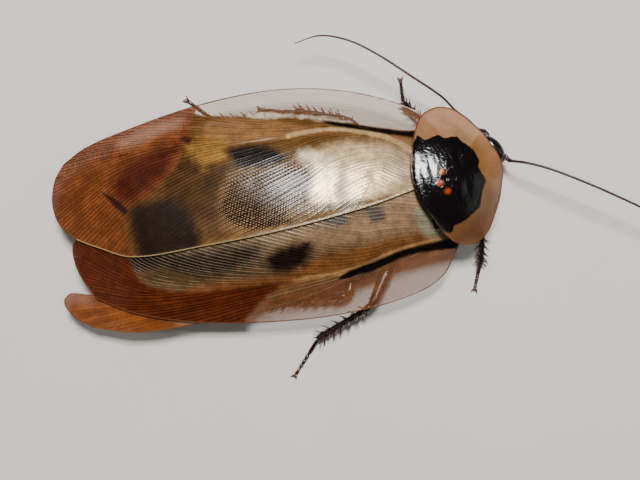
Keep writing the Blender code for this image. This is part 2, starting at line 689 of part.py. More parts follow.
def make_cercus(name, root, sign):
    """Make one short ringed cercus."""
    heading = Vector((-0.72, 0.69 * sign, -0.06)).normalized()
    rings = []
    for i in range(9):
        share = i / 8
        swell = 1.0 if i % 2 else 0.86
        radius = CERCUS_RADIUS * swell * mix(1.0, 0.42, share ** 1.5)
        if i == 0:
            radius = CERCUS_RADIUS * 0.5
        centre = root + heading * (CERCUS_LENGTH * share - 0.3)
        rings.append(ring_across(centre, heading, radius, radius, 8))
    vertices, faces = loft(rings, tip_at_end=True)
    add_piece(name, vertices, faces, "trunk", root)


def head_axes():
    """Give the head's own axes: to its left, from crown to mouth, and out of its face."""
    left = Vector((-math.sin(HEAD_TURN), math.cos(HEAD_TURN), 0))
    ahead = Vector((math.cos(HEAD_TURN), math.sin(HEAD_TURN), 0))
    down = -ahead * math.sin(HEAD_TILT) + Vector((0, 0, -math.cos(HEAD_TILT)))
    face = ahead * math.cos(HEAD_TILT) + Vector((0, 0, -math.sin(HEAD_TILT)))
    return left, down, face


def in_head(spot, sign=1):
    """Turn a point of the head's own axes into the body's."""
    left, down, face = head_axes()
    return HEAD_CENTRE + left * (spot[0] * sign) + down * spot[1] + face * spot[2]


def head_rings(stations, sides=18):
    """Give flat-backed sections of the head down its length."""
    rings = []
    for station in stations:
        wide = read_table(HEAD_HALF_WIDTH, station)
        deep = read_table(HEAD_HALF_DEPTH, station)
        ring = []
        for i in range(sides):
            angle = 2 * math.pi * (i + 0.5) / sides
            depth = max(deep * math.sin(angle), -HEAD_BACK)
            ring.append(in_head((wide * math.cos(angle), station, depth)))
        rings.append(ring)
    return rings


def make_head():
    """Make the head with seats for eyes, antennae and palps, then what sits in them."""
    vertices, faces = loft(head_rings((HEAD_TOP, -3.7, -3.1, -2.2, -1.2, -0.2, 0.8, 1.7, HEAD_MOUTH)))
    head = add_piece("head", vertices, faces, "head", HEAD_CENTRE)
    turn = Matrix(head_axes()).transposed()
    seats = []
    for side, sign in (("left", 1), ("right", -1)):
        eye = in_head(EYE_PLACE, sign)
        ball("eye_" + side, eye, EYE_RADII, 10, 8, turn, "eye")
        seats.append(ball("seat_eye_" + side, eye, [r + GAP for r in EYE_RADII], 10, 8, turn))
        socket, palp = in_head(ANTENNA_SOCKET, sign), in_head(PALP_SOCKET, sign)
        seats.append(ball("seat_antenna_" + side, socket, [ANTENNA_ROOT + GAP] * 3, 8, 6))
        seats.append(ball("seat_palp_" + side, palp, [PALP_SEAT] * 3, 8, 6))
    apply_boolean(head, seats, "DIFFERENCE")
    vertices, faces = loft(head_rings((HEAD_MOUTH + GAP, 3.5, LABRUM_END)))
    add_piece("labrum", vertices, faces, "head", in_head((0, HEAD_MOUTH, 0)))
    for side, sign in (("left", 1), ("right", -1)):
        track = Track([in_head(point, sign) for point in PALP_POINTS])
        rings = []
        for i in range(13):
            share = i / 12
            radius = mix(PALP_ROOT, 0.3, share) * (1.0 if i % 3 else 0.82)
            rings.append(ring_across(track.at(share), track.heading(share), radius, radius, 7))
        vertices, faces = loft(rings, tip_at_end=True)
        add_piece("palp_" + side, vertices, faces, "leg", track.at(0))


def make_neck():
    """Make the short neck between the thorax and the back of the head."""
    face = head_axes()[2]
    start = Vector((THORAX_FRONT + GAP, read_table(THORAX_MIDLINE, THORAX_FRONT) + 0.3, 6.2))
    end = in_head((0, -1.0, -HEAD_BACK)) - face * GAP
    ahead, behind = start + Vector((NECK_BEND, 0, 0)), end - face * NECK_BEND
    rings = []
    for i in range(6):
        share = i / 5
        heading = Vector((1, 0, 0)).lerp(face, share).normalized()
        centre = start.lerp(ahead, share).lerp(behind.lerp(end, share), share)
        rings.append(ring_across(centre, heading, NECK_HALF_WIDTH, NECK_HALF_HEIGHT, 12))
    vertices, faces = loft(rings)
    add_piece("neck", vertices, faces, "trunk", start)


def make_antenna(side, sign):
    """Make one antenna: its scape, then the flagellum in a few lengths."""
    root = in_head(ANTENNA_SOCKET, sign)
    flagellum = Track(ANTENNA_PATHS[side])
    first = flagellum.at(0)
    face = head_axes()[2]
    scape = Track([root - face * 0.3, root, root.lerp(first, 0.5) + face * SCAPE_BOW, first])
    heading = scape.heading(1.0)
    rings = []
    for share, radius in SCAPE_RADIUS:
        reach = share * (1 - GAP / 2 / scape.length)
        rings.append(ring_across(scape.at(reach), scape.heading(reach), radius, radius, 8))
    vertices, faces = loft(rings)
    add_piece("antenna_" + side + "_scape", vertices, faces, "antenna", root)
    half_gap = GAP / 2 / flagellum.length
    for part in range(FLAGELLUM_LENGTHS):
        start = part / FLAGELLUM_LENGTHS + half_gap
        end = (part + 1) / FLAGELLUM_LENGTHS - (half_gap if part < FLAGELLUM_LENGTHS - 1 else 0)
        rings = []
        for i in range(12):
            share = mix(start, end, i / 11)
            radius = read_table(FLAGELLUM_RADIUS, share)
            towards = heading if share < 2 * half_gap else flagellum.heading(share)
            rings.append(ring_across(flagellum.at(share), towards, radius, radius, 6))
        vertices, faces = loft(rings, tip_at_end=part == FLAGELLUM_LENGTHS - 1)
        add_piece("antenna_" + side + "_" + str(part + 1), vertices, faces, "antenna", flagellum.at(start))


def leg_track(corners):
    """Give the whole path of a leg and the shares of its length where the joints are."""
    ankle, claw_end = Vector(corners[3]), Vector(corners[4])
    touch = ankle.lerp(claw_end, 0.3)
    touch.z = TARSUS_RADIUS
    corners = [Vector(point) for point in corners[:4]] + [touch, claw_end]
    points = rounded_points(corners, LEG_CORNER)
    track = Track(points, smooth=False)
    joints = []
    for corner in corners[1:4]:
        nearest = min(range(len(track.points)), key=lambda i: (track.points[i] - corner).length)
        joints.append(track.lengths[nearest] / track.length)
    return track, joints


def limb_piece(name, track, start, end, width_table, height_table, scale, sides=8, rings=7):
    """Loft one leg segment between two cuts of the leg's path."""
    loops = []
    for i in range(rings):
        local = i / (rings - 1)
        share = mix(start, end, local)
        wide = read_table(width_table, local) * scale
        high = read_table(height_table, local) * scale
        ring = ring_across(track.at(share), track.heading(share), wide, high, sides)
        loops.append([Vector((p.x, p.y, max(p.z, 0.0))) for p in ring])
    vertices, faces = loft(loops)
    return add_piece(name, vertices, faces, "leg", track.at(start))


def make_spine(name, root, heading, length, radius):
    """Make one plain tapered spine to be joined to a leg."""
    ring = ring_across(root, heading, radius, radius, 5)
    vertices = ring + [root + heading * length]
    faces = [list(range(5))] + [(i, (i + 1) % 5, 5) for i in range(5)]
    return add_piece(name, vertices, faces, None, root)


def tibia_spines(name, track, start, end, count, scale):
    """Make the rows of spines down a tibia, longer towards the foot."""
    spines = []
    for row, degrees in enumerate(SPINE_ROWS):
        angle = math.radians(degrees)
        for i in range(count):
            local = (i + 0.75 + 0.25 * (row % 2)) / (count + 0.35)
            share = mix(start, end, min(local, 0.95))
            heading = track.heading(share)
            aside = Vector((0, 0, 1)).cross(heading).normalized()
            above = heading.cross(aside)
            out = aside * math.sin(angle) + above * math.cos(angle)
            lean = (out * math.sin(SPINE_LEAN) + heading * math.cos(SPINE_LEAN)).normalized()
            length = SPINE_LENGTH * scale * (0.8 + 0.3 * local) * (0.75 if row == 1 else 1.0)
            root = track.at(share) + out * (SPINE_SINK * scale)
            label = name + "_spine_" + str(len(spines))
            spines.append(make_spine(label, root, lean, length, SPINE_RADIUS * scale))
    return spines


def make_tarsus(name, track, start):
    """Make the jointed foot with its flat sole and a pair of claws."""
    end = 1.0 - 0.75 * CLAW_LENGTH / track.length
    loops = []
    rings = TARSUS_JOINTS * 2
    for i in range(rings + 1):
        local = i / rings
        share = mix(start, end, local)
        radius = TARSUS_RADIUS * mix(0.98, 0.8, local) + (TARSUS_SWELL if i % 2 else 0.0)
        centre = track.at(share)
        centre.z += SOLE_DEPTH * radius - TARSUS_RADIUS
        ring = ring_across(centre, track.heading(share), radius, radius, 8)
        loops.append([Vector((p.x, p.y, max(p.z, 0.0))) for p in ring])
    vertices, faces = loft(loops)
    foot = add_piece(name, vertices, faces, "leg", track.at(start))
    heading = track.heading(end)
    aside = Vector((0, 0, 1)).cross(heading).normalized()
    claws = []
    for sign in (1, -1):
        root = track.at(end) - heading * 0.3 + aside * (0.1 * sign)
        out = (heading * math.cos(CLAW_SPREAD) + aside * (math.sin(CLAW_SPREAD) * sign)).normalized()
        rings = []
        for i in range(4):
            share = i / 3
            spot = root + out * (CLAW_LENGTH * share)
            spot.z += CLAW_HOOK * (math.sin(math.pi * share) - share)
            radius = mix(CLAW_RADIUS, CLAW_TIP, share)
            ring = ring_across(spot, out, radius, radius, 5)
            rings.append([Vector((p.x, p.y, max(p.z, 0.02))) for p in ring])
        vertices, faces = loft(rings, tip_at_end=True)
        claws.append(add_piece(name + "_claw", vertices, faces, None, root))
    apply_boolean(foot, claws, "UNION")


def make_leg(name, corners):
    """Make one leg as coxa, femur, spiny tibia and foot, parted by thin cuts."""
    pair = name.split("_")[0]
    scale = LEG_SCALE[pair]
    track, (trochanter, knee, ankle) = leg_track(corners)
    half_gap = LEG_GAP / 2 / track.length
    cut = trochanter - half_gap
    coxa = limb_piece("coxa_" + name, track, 0.0, cut, COXA_HALF_WIDTH, COXA_HALF_HEIGHT, scale, 10, 6)
    for vertex in coxa.data.vertices:
        vertex.co.z = min(vertex.co.z, (BELLY_HEIGHT - GAP) * MM - coxa.location.z)
    ends = trochanter + half_gap, knee - half_gap
    limb_piece("femur_" + name, track, *ends, FEMUR_HALF_WIDTH, FEMUR_HALF_HEIGHT, scale, 8, 8)
    ends = knee + half_gap, ankle - half_gap
    tibia = limb_piece("tibia_" + name, track, *ends, TIBIA_RADIUS, TIBIA_RADIUS, scale, 8, 7)
    spines = tibia_spines(name, track, knee, ankle, SPINES_PER_ROW[pair], scale)
    apply_boolean(tibia, spines, "UNION")
    make_tarsus("tarsus_" + name, track, ankle + half_gap)


def stand_on_origin():
    """Move the whole model so that its box stands centred on the origin."""
    bpy.context.view_layer.update()
    low = Vector((1e9, 1e9, 1e9))
    high = -low
    for piece in bpy.data.objects:
        if piece.type != "MESH":
            continue
        for vertex in piece.data.vertices:
            spot = piece.matrix_world @ vertex.co
            low = Vector(min(a, b) for a, b in zip(low, spot))
            high = Vector(max(a, b) for a, b in zip(high, spot))
    body_frame.location = (-(low.x + high.x) / 2, -(low.y + high.y) / 2, -low.z)
    bpy.context.view_layer.update()


make_pronotum()
make_thorax()
make_abdomen()
make_head()
make_neck()
make_antenna("left", 1)
make_antenna("right", -1)
make_wing("tegmen_left", TEGMEN_LEFT, lambda x, y: 0.0, TEGMEN_LAYOUT)
make_wing("tegmen_right", TEGMEN_RIGHT, right_tegmen_drop, TEGMEN_LAYOUT)
make_wing("hindwing_left", HINDWING_LEFT, hindwing_drop, HINDWING_LAYOUT)
make_wing("hindwing_right", HINDWING_RIGHT, hindwing_drop, HINDWING_LAYOUT)
for leg_name, leg_corners in LEG_POINTS.items():
    make_leg(leg_name, leg_corners)
stand_on_origin()
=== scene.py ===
"""Giant cave cockroach (Blaberus giganteus): the looks of a still, life-size model.

Shapes are worked out in millimetres in the insect's own axes, as the solids are: X towards the
head, Y to its left, Z up from the floor, with zero under the middle of the pronotum's hind margin.
"""
import logging
import math
from collections.abc import Callable, Sequence
from dataclasses import dataclass, field
from enum import Enum

import bmesh
import bpy
import numpy as np
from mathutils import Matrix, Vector, noise


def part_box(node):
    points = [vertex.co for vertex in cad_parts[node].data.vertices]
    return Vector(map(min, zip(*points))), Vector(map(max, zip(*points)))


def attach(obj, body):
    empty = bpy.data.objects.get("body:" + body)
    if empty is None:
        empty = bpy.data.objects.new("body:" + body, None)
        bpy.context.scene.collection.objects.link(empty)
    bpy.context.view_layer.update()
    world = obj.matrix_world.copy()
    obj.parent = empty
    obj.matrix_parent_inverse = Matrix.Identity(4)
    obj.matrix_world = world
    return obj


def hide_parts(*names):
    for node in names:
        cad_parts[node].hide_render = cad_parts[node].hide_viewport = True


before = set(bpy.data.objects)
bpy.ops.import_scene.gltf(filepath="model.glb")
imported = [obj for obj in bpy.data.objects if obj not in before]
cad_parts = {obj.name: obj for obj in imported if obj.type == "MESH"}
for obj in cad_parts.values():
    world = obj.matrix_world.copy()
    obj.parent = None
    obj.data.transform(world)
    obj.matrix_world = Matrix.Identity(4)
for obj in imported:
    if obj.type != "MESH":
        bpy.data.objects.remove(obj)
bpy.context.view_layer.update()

log = logging.getLogger("cockroach")

MM = 0.001
THORAX_FRONT = 12.6
UP = np.array((0.0, 0.0, 1.0))


class Side(Enum):
    """The insect's left or right, by the sign of Y."""

    LEFT = 1
    RIGHT = -1

    @property
    def word(self) -> str:
        """Give the side's name as it stands in the nodes' names."""
        return self.name.lower()


def body_origin() -> np.ndarray:
    """Find the origin of the insect's own axes from the thorax, in world millimetres."""
    low, high = (np.array(corner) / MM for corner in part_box("thorax"))
    return np.array((high[0] - THORAX_FRONT, (low[1] + high[1]) / 2, 0.0))


ORIGIN = body_origin()


def ease(value: np.ndarray | float) -> np.ndarray | float:
    """Step smoothly from 0 to 1."""
    t = np.clip(value, 0.0, 1.0)
    return t * t * (3.0 - 2.0 * t)


def mix(low: np.ndarray | float, high: np.ndarray | float, share: np.ndarray | float) -> np.ndarray | float:
    """Blend two values."""
    return low + (high - low) * share


def unit(vectors: np.ndarray) -> np.ndarray:
    """Scale vectors to length 1."""
    return vectors / np.maximum(np.linalg.norm(vectors, axis=-1, keepdims=True), 1e-12)


def ripple(points: np.ndarray, size: float, seed: float = 0.0) -> np.ndarray:
    """Read smooth noise between -1 and 1 at each point.

    Args:
        points: Places in millimetres, in rows.
        size: Size of the noise's lumps in millimetres.
        seed: Shift that gives another draw.

    Returns:
        One value for each point.
    """
    flat = points.reshape(-1, 3) / size + seed
    values = np.array([noise.noise(Vector(place)) for place in flat])
    return values.reshape(points.shape[:-1])


@dataclass(frozen=True)
class Profile:
    """A smooth curve through (place, value) rows, held level past its ends."""

    rows: tuple[tuple[float, float], ...]

    def __call__(self, place: np.ndarray | float) -> np.ndarray:
        """Read the curve at one or many places."""
        xs, ys = np.array(sorted(self.rows), float).T
        slopes = np.gradient(ys, xs)
        slopes[1:-1] = (ys[2:] - ys[:-2]) / (xs[2:] - xs[:-2])
        place = np.clip(place, xs[0], xs[-1])
        index = np.clip(np.searchsorted(xs, place) - 1, 0, len(xs) - 2)
        step = xs[index + 1] - xs[index]
        t = (place - xs[index]) / step
        bend = t * (1 - t) * step
        lean = (1 - t) * slopes[index] - t * slopes[index + 1]
        return mix(ys[index], ys[index + 1], ease(t)) + bend * lean


class Track:
    """A curve through a few points, smooth or straight between them, read by share of its length."""

    def __init__(self, knots: Sequence[Sequence[float]], smooth: bool = True, steps: int = 14) -> None:
        """Lay the curve.

        Args:
            knots: Points that it goes through, with Z left out where it is zero.
            smooth: False for straight runs.
            steps: Short runs between two knots.
        """
        knots = np.array([(*knot, 0.0)[:3] for knot in knots], float)
        self.points = knots
        if smooth:
            ends = np.vstack([2 * knots[0] - knots[1], knots, 2 * knots[-1] - knots[-2]])
            spans = np.linalg.norm(np.diff(ends, axis=0), axis=1)
            points = [knots[0]]
            for i in range(1, len(ends) - 2):
                leave = (ends[i + 1] - ends[i - 1]) * spans[i] / (spans[i] + spans[i - 1])
                reach = (ends[i + 2] - ends[i]) * spans[i] / (spans[i] + spans[i + 1])
                for t in np.arange(1, steps + 1) / steps:
                    place = mix(ends[i], ends[i + 1], ease(t))
                    points.append(place + leave * (t**3 - 2 * t**2 + t) + reach * (t**3 - t**2))
            self.points = np.array(points)
        runs = np.linalg.norm(np.diff(self.points, axis=0), axis=1)
        self.lengths = np.concatenate([[0.0], np.cumsum(runs)])
        self.length = float(self.lengths[-1])

    def at(self, share: np.ndarray | float) -> np.ndarray:
        """Give the points at shares of the length."""
        target = np.clip(share, 0.0, 1.0) * self.length
        return np.stack([np.interp(target, self.lengths, column) for column in self.points.T], axis=-1)

    def heading(self, share: np.ndarray | float, reach: float = 0.12) -> np.ndarray:
        """Give the directions of travel at shares of the length."""
        share = np.asarray(share)
        return unit(self.at(share + reach / self.length) - self.at(share - reach / self.length))

    def rings(self, shares: np.ndarray, wide: np.ndarray, high: np.ndarray, sides: int) -> np.ndarray:
        """Set ellipses square to the curve, their width level with the floor.

        Args:
            shares: Where each ring stands.
            wide: Half widths.
            high: Half heights.
            sides: Points in a ring.

        Returns:
            Points by ring, side and axis.
        """
        centres, headings = self.at(shares), self.heading(shares)
        aside = unit(np.cross(UP, headings))
        above = np.cross(headings, aside)
        angles = 2 * np.pi * (np.arange(sides) + 0.5) / sides
        across = np.outer(wide * np.ones(len(shares)), np.cos(angles))[..., None]
        upward = np.outer(high * np.ones(len(shares)), np.sin(angles))[..., None]
        return centres[:, None] + aside[:, None] * across + above[:, None] * upward


def closed_curve(outline: Sequence[Sequence[float]], steps: int = 8) -> np.ndarray:
    """Lay a smooth closed curve through an outline's points."""
    knots = [*outline[-2:], *outline, *outline[:2]]
    points = Track(knots, steps=steps).points
    return points[2 * steps : -2 * steps - 1, :2]


def distance_to(x: np.ndarray, y: np.ndarray, line: np.ndarray, closed: bool) -> np.ndarray:
    """Measure how far points lie from a line of short runs.

    Args:
        x: Places along the body.
        y: Places across it.
        line: The line's points.
        closed: True for an outline, inside which the distance is below zero.

    Returns:
        Distances in millimetres, shaped like x.
    """
    ends = np.roll(line, -1, axis=0) if closed else line[1:]
    starts = line if closed else line[:-1]
    nearest = np.full(x.shape, np.inf)
    inside = np.zeros(x.shape, bool)
    for (ax, ay), (bx, by) in zip(starts, ends):
        dx, dy = bx - ax, by - ay
        t = np.clip(((x - ax) * dx + (y - ay) * dy) / max(dx * dx + dy * dy, 1e-12), 0.0, 1.0)
        nearest = np.minimum(nearest, np.hypot(x - ax - t * dx, y - ay - t * dy))
        if closed and dy:
            inside ^= ((ay > y) != (by > y)) & (x < ax + dx * (y - ay) / dy)
    return np.where(inside, -nearest, nearest)


class Skin:
    """Closed skins gathered into one mesh, with a few values kept at each point."""

    def __init__(self, *names: str) -> None:
        """Start empty, for values of these names."""
        self.points: list[np.ndarray] = []
        self.faces: list[tuple[int, ...]] = []
        self.values: dict[str, list[np.ndarray]] = {name: [] for name in names}
        self.count = 0

    def add(self, points: np.ndarray, faces: Sequence[Sequence[int]], **values: np.ndarray | float) -> None:
        """Add one closed skin.

        Args:
            points: Places in millimetres.
            faces: Point numbers of each face.
            **values: One number, or one for each point, by name.
        """
        points = points.reshape(-1, 3)
        self.points.append(points)
        self.faces += [tuple(int(i) + self.count for i in face) for face in faces]
        for name, kept in self.values.items():
            kept.append(np.ones(len(points)) * np.asarray(values.get(name, 0.0)).reshape(-1))
        self.count += len(points)

    def add_tube(self, rings: np.ndarray, **values: np.ndarray | float) -> None:
        """Add a tube of rings, closed at both ends by a fan about the middle of the ring."""
        count, sides = rings.shape[:2]
        points = np.vstack([rings.reshape(-1, 3), rings[0].mean(0), rings[-1].mean(0)])
        faces = []
        for row in range(count - 1):
            for i in range(sides):
                a, b = row * sides + i, row * sides + (i + 1) % sides
                faces.append((a, b, b + sides, a + sides))
        last = (count - 1) * sides
        for i in range(sides):
            faces.append((i, (i + 1) % sides, count * sides))
            faces.append((last + i, last + (i + 1) % sides, count * sides + 1))
        spread = {}
        for name, value in values.items():
            value = np.asarray(value, float)
            if value.shape == (count,):
                value = np.repeat(value, sides)
            if value.size == count * sides:
                value = value.reshape(count, sides)
                value = np.concatenate([value.ravel(), [value[0].mean(), value[-1].mean()]])
            spread[name] = value
        self.add(points, faces, **spread)

    def add_sheet(self, upper: np.ndarray, lower: np.ndarray, **values: np.ndarray) -> None:
        """Add a closed sheet between two grids of like size."""
        rows, columns = upper.shape[:2]
        count = rows * columns
        index = np.arange(count).reshape(rows, columns)
        quads = np.stack([index[:-1, :-1], index[:-1, 1:], index[1:, 1:], index[1:, :-1]], -1).reshape(-1, 4)
        rim = np.concatenate([index[0, :], index[1:, -1], index[-1, -2::-1], index[-2:0:-1, 0]])
        onward = np.roll(rim, -1)
        strip = np.stack([onward, rim, rim + count, onward + count], -1)
        faces = np.vstack([quads, quads[:, ::-1] + count, strip])
        both = {name: np.concatenate([np.ravel(value)] * 2) for name, value in values.items()}
        self.add(np.vstack([upper.reshape(-1, 3), lower.reshape(-1, 3)]), faces, **both)

    def add_ball(self, centre: np.ndarray, axes: np.ndarray, sides: int, rows: int, **values: float) -> None:
        """Add an ellipsoid whose three half axes are the rows of axes."""
        polar = np.pi * np.linspace(0.02, 0.98, rows)
        angles = 2 * np.pi * np.arange(sides) / sides
        spots = np.stack(
            [
                np.outer(np.sin(polar), np.cos(angles)),
                np.outer(np.sin(polar), np.sin(angles)),
                np.outer(np.cos(polar), np.ones(sides)),
            ],
            -1,
        )
        self.add_tube(np.asarray(centre) + spots @ np.asarray(axes), **values)

    def build(
        self, name: str, finish: bpy.types.Material, slot: str, nodes: Sequence[str] = ()
    ) -> bpy.types.Object:
        """Make the piece and set it in the frame.

        Args:
            name: The piece's name.
            finish: Its material.
            slot: The record's material slot; not used.
            nodes: The solids that it takes the place of, if not just the one of its own name.

        Returns:
            The new object.
        """
        nodes = nodes or (name,)
        mesh = bpy.data.meshes.new(name)
        mesh.from_pydata(((np.vstack(self.points) + ORIGIN) * MM).tolist(), [], self.faces)
        for key, kept in self.values.items():
            layer = mesh.attributes.new(key, "FLOAT", "POINT")
            layer.data.foreach_set("value", np.concatenate(kept).astype(np.float32))
        work = bmesh.new()
        work.from_mesh(mesh)
        bmesh.ops.recalc_face_normals(work, faces=work.faces[:])
        work.to_mesh(mesh)
        work.free()
        mesh.shade_smooth()
        mesh.materials.append(finish)
        piece = bpy.data.objects.new(name, mesh)
        bpy.context.scene.collection.objects.link(piece)
        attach(piece, "root")
        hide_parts(*nodes)
        log.info("%s: %d points, %d faces", name, len(mesh.vertices), len(mesh.polygons))
        return piece


def linear(code: str) -> tuple[float, float, float, float]:
    """Turn an sRGB hex colour into linear light."""
    parts = [int(code[i : i + 2], 16) / 255 for i in (1, 3, 5)]
    red, green, blue = (part / 12.92 if part <= 0.04045 else ((part + 0.055) / 1.055) ** 2.4 for part in parts)
    return red, green, blue, 1.0


def add_node(
    tree: bpy.types.NodeTree, kind: str, links: dict | None = None, **settings: object
) -> bpy.types.Node:
    """Add a node with its settings and links.

    Args:
        tree: The material's tree.
        kind: The node's type.
        links: By input name or number, a value or the socket that feeds it.
        **settings: The node's own properties.

    Returns:
        The new node.
    """
    node = tree.nodes.new(kind)
    for key, value in settings.items():
        setattr(node, key, value)
    for key, source in (links or {}).items():
        if isinstance(source, bpy.types.NodeSocket):
            tree.links.new(source, node.inputs[key])
        else:
            node.inputs[key].default_value = source
    return node


def start_material(name: str, uniform: dict[str, float]) -> bpy.types.NodeTree:
    """Start a material from its name and the numbers that are the same all over it."""
    material = bpy.data.materials.new(name)
    material.use_nodes = True
    shader = material.node_tree.nodes["Principled BSDF"]
    for key, value in uniform.items():
        shader.inputs[key].default_value = value
    return material.node_tree


def end_material(name: str, sockets: dict[str, bpy.types.NodeSocket]) -> bpy.types.Material:
    """Feed the shader's other inputs and give the finished material."""
    material = bpy.data.materials[name]
    shader = material.node_tree.nodes["Principled BSDF"]
    for key, socket in sockets.items():
        material.node_tree.links.new(socket, shader.inputs[key])
    return material


def ragged_mask(
    tree: bpy.types.NodeTree,
    shake: bpy.types.NodeSocket,
    distance: bpy.types.NodeSocket,
    ragged: float,
    soft: float,
    strength: float = 1.0,
) -> bpy.types.NodeSocket:
    """Draw a patch's mask from the distance to its edge.

    Args:
        tree: The material's tree.
        shake: Noise that frays the edge.
        distance: How far a point lies outside the patch, in millimetres.
        ragged: How far the noise moves the edge.
        soft: Half width of the fade across it.
        strength: The mask's value inside.

    Returns:
        The mask's socket.
    """
    links = {0: shake, 1: 2 * ragged, 2: distance}
    shaken = add_node(tree, "ShaderNodeMath", links, operation="MULTIPLY_ADD").outputs[0]
    links = {0: shaken, 1: ragged + soft, 2: ragged - soft, 4: strength}
    return add_node(tree, "ShaderNodeMapRange", links, interpolation_type="SMOOTHSTEP").outputs[0]


@dataclass(frozen=True)
class Chitin:
    """Hardened, tanned cuticle: moulded soft at the moult, then set hard and glossy.

    Its waxy top layer gives a sharp gloss over a dark body, broken by fine grain, and it turns
    red-brown where it is thin, as in spines and claws.
    """

    name: str
    dark: str = "#120a07"
    thin: str = "#6b2710"
    pale: str = "#8a6236"
    roughness: tuple[float, float] = (0.16, 0.34)
    grain: float = 0.22
    relief: float = 0.02
    ior: float = 1.56
    coat: float = 0.15

    def material(self) -> bpy.types.Material:
        """Build the material. Its meshes carry thin and pale, from 0 to 1."""
        tree = start_material(self.name, {"IOR": self.ior, "Coat Weight": self.coat, "Coat Roughness": 0.08})
        place = add_node(tree, "ShaderNodeTexCoord").outputs["Object"]
        thin = add_node(tree, "ShaderNodeAttribute", attribute_name="thin").outputs["Fac"]
        pale = add_node(tree, "ShaderNodeAttribute", attribute_name="pale").outputs["Fac"]
        cloud = add_node(
            tree, "ShaderNodeTexNoise", {"Vector": place, "Scale": 1 / (2.5 * MM), "Detail": 3.0}
        ).outputs["Fac"]
        grain = add_node(
            tree, "ShaderNodeTexNoise", {"Vector": place, "Scale": 1 / (self.grain * MM), "Detail": 4.0}
        ).outputs["Fac"]
        warm = add_node(
            tree, "ShaderNodeMix", {0: thin, 6: linear(self.dark), 7: linear(self.thin)}, data_type="RGBA"
        ).outputs[2]
        light = add_node(
            tree, "ShaderNodeMix", {0: pale, 6: warm, 7: linear(self.pale)}, data_type="RGBA"
        ).outputs[2]
        shade = add_node(tree, "ShaderNodeMapRange", {0: cloud, 1: 0.3, 2: 0.7, 3: 0.75, 4: 1.3}).outputs[0]
        colour = add_node(
            tree, "ShaderNodeVectorMath", {0: light, "Scale": shade}, operation="SCALE"
        ).outputs[0]
        rough = add_node(
            tree, "ShaderNodeMapRange", {0: cloud, 1: 0.3, 2: 0.7, 3: self.roughness[0], 4: self.roughness[1]}
        ).outputs[0]
        bump = add_node(
            tree, "ShaderNodeBump", {"Height": grain, "Strength": 0.6, "Distance": self.relief * MM}
        )
        sockets = {"Base Color": colour, "Roughness": rough, "Normal": bump.outputs[0]}
        return end_material(self.name, sockets)


@dataclass(frozen=True)
class Marking:
    """A patch of a wing or shield with its own look."""

    name: str
    outline: tuple[tuple[float, float], ...]
    cell: str
    vein: str
    alpha: float = 1.0
    roughness: float = 0.32
    metal: float = 0.0
    net: float = 0.3
    soft: float = 1.0
    ragged: float = 0.4
    strength: float = 1.0

    def distance(self, x: np.ndarray, y: np.ndarray) -> np.ndarray:
        """Give how far points lie outside the patch, in millimetres."""
        return distance_to(x, y, closed_curve(self.outline), closed=True)


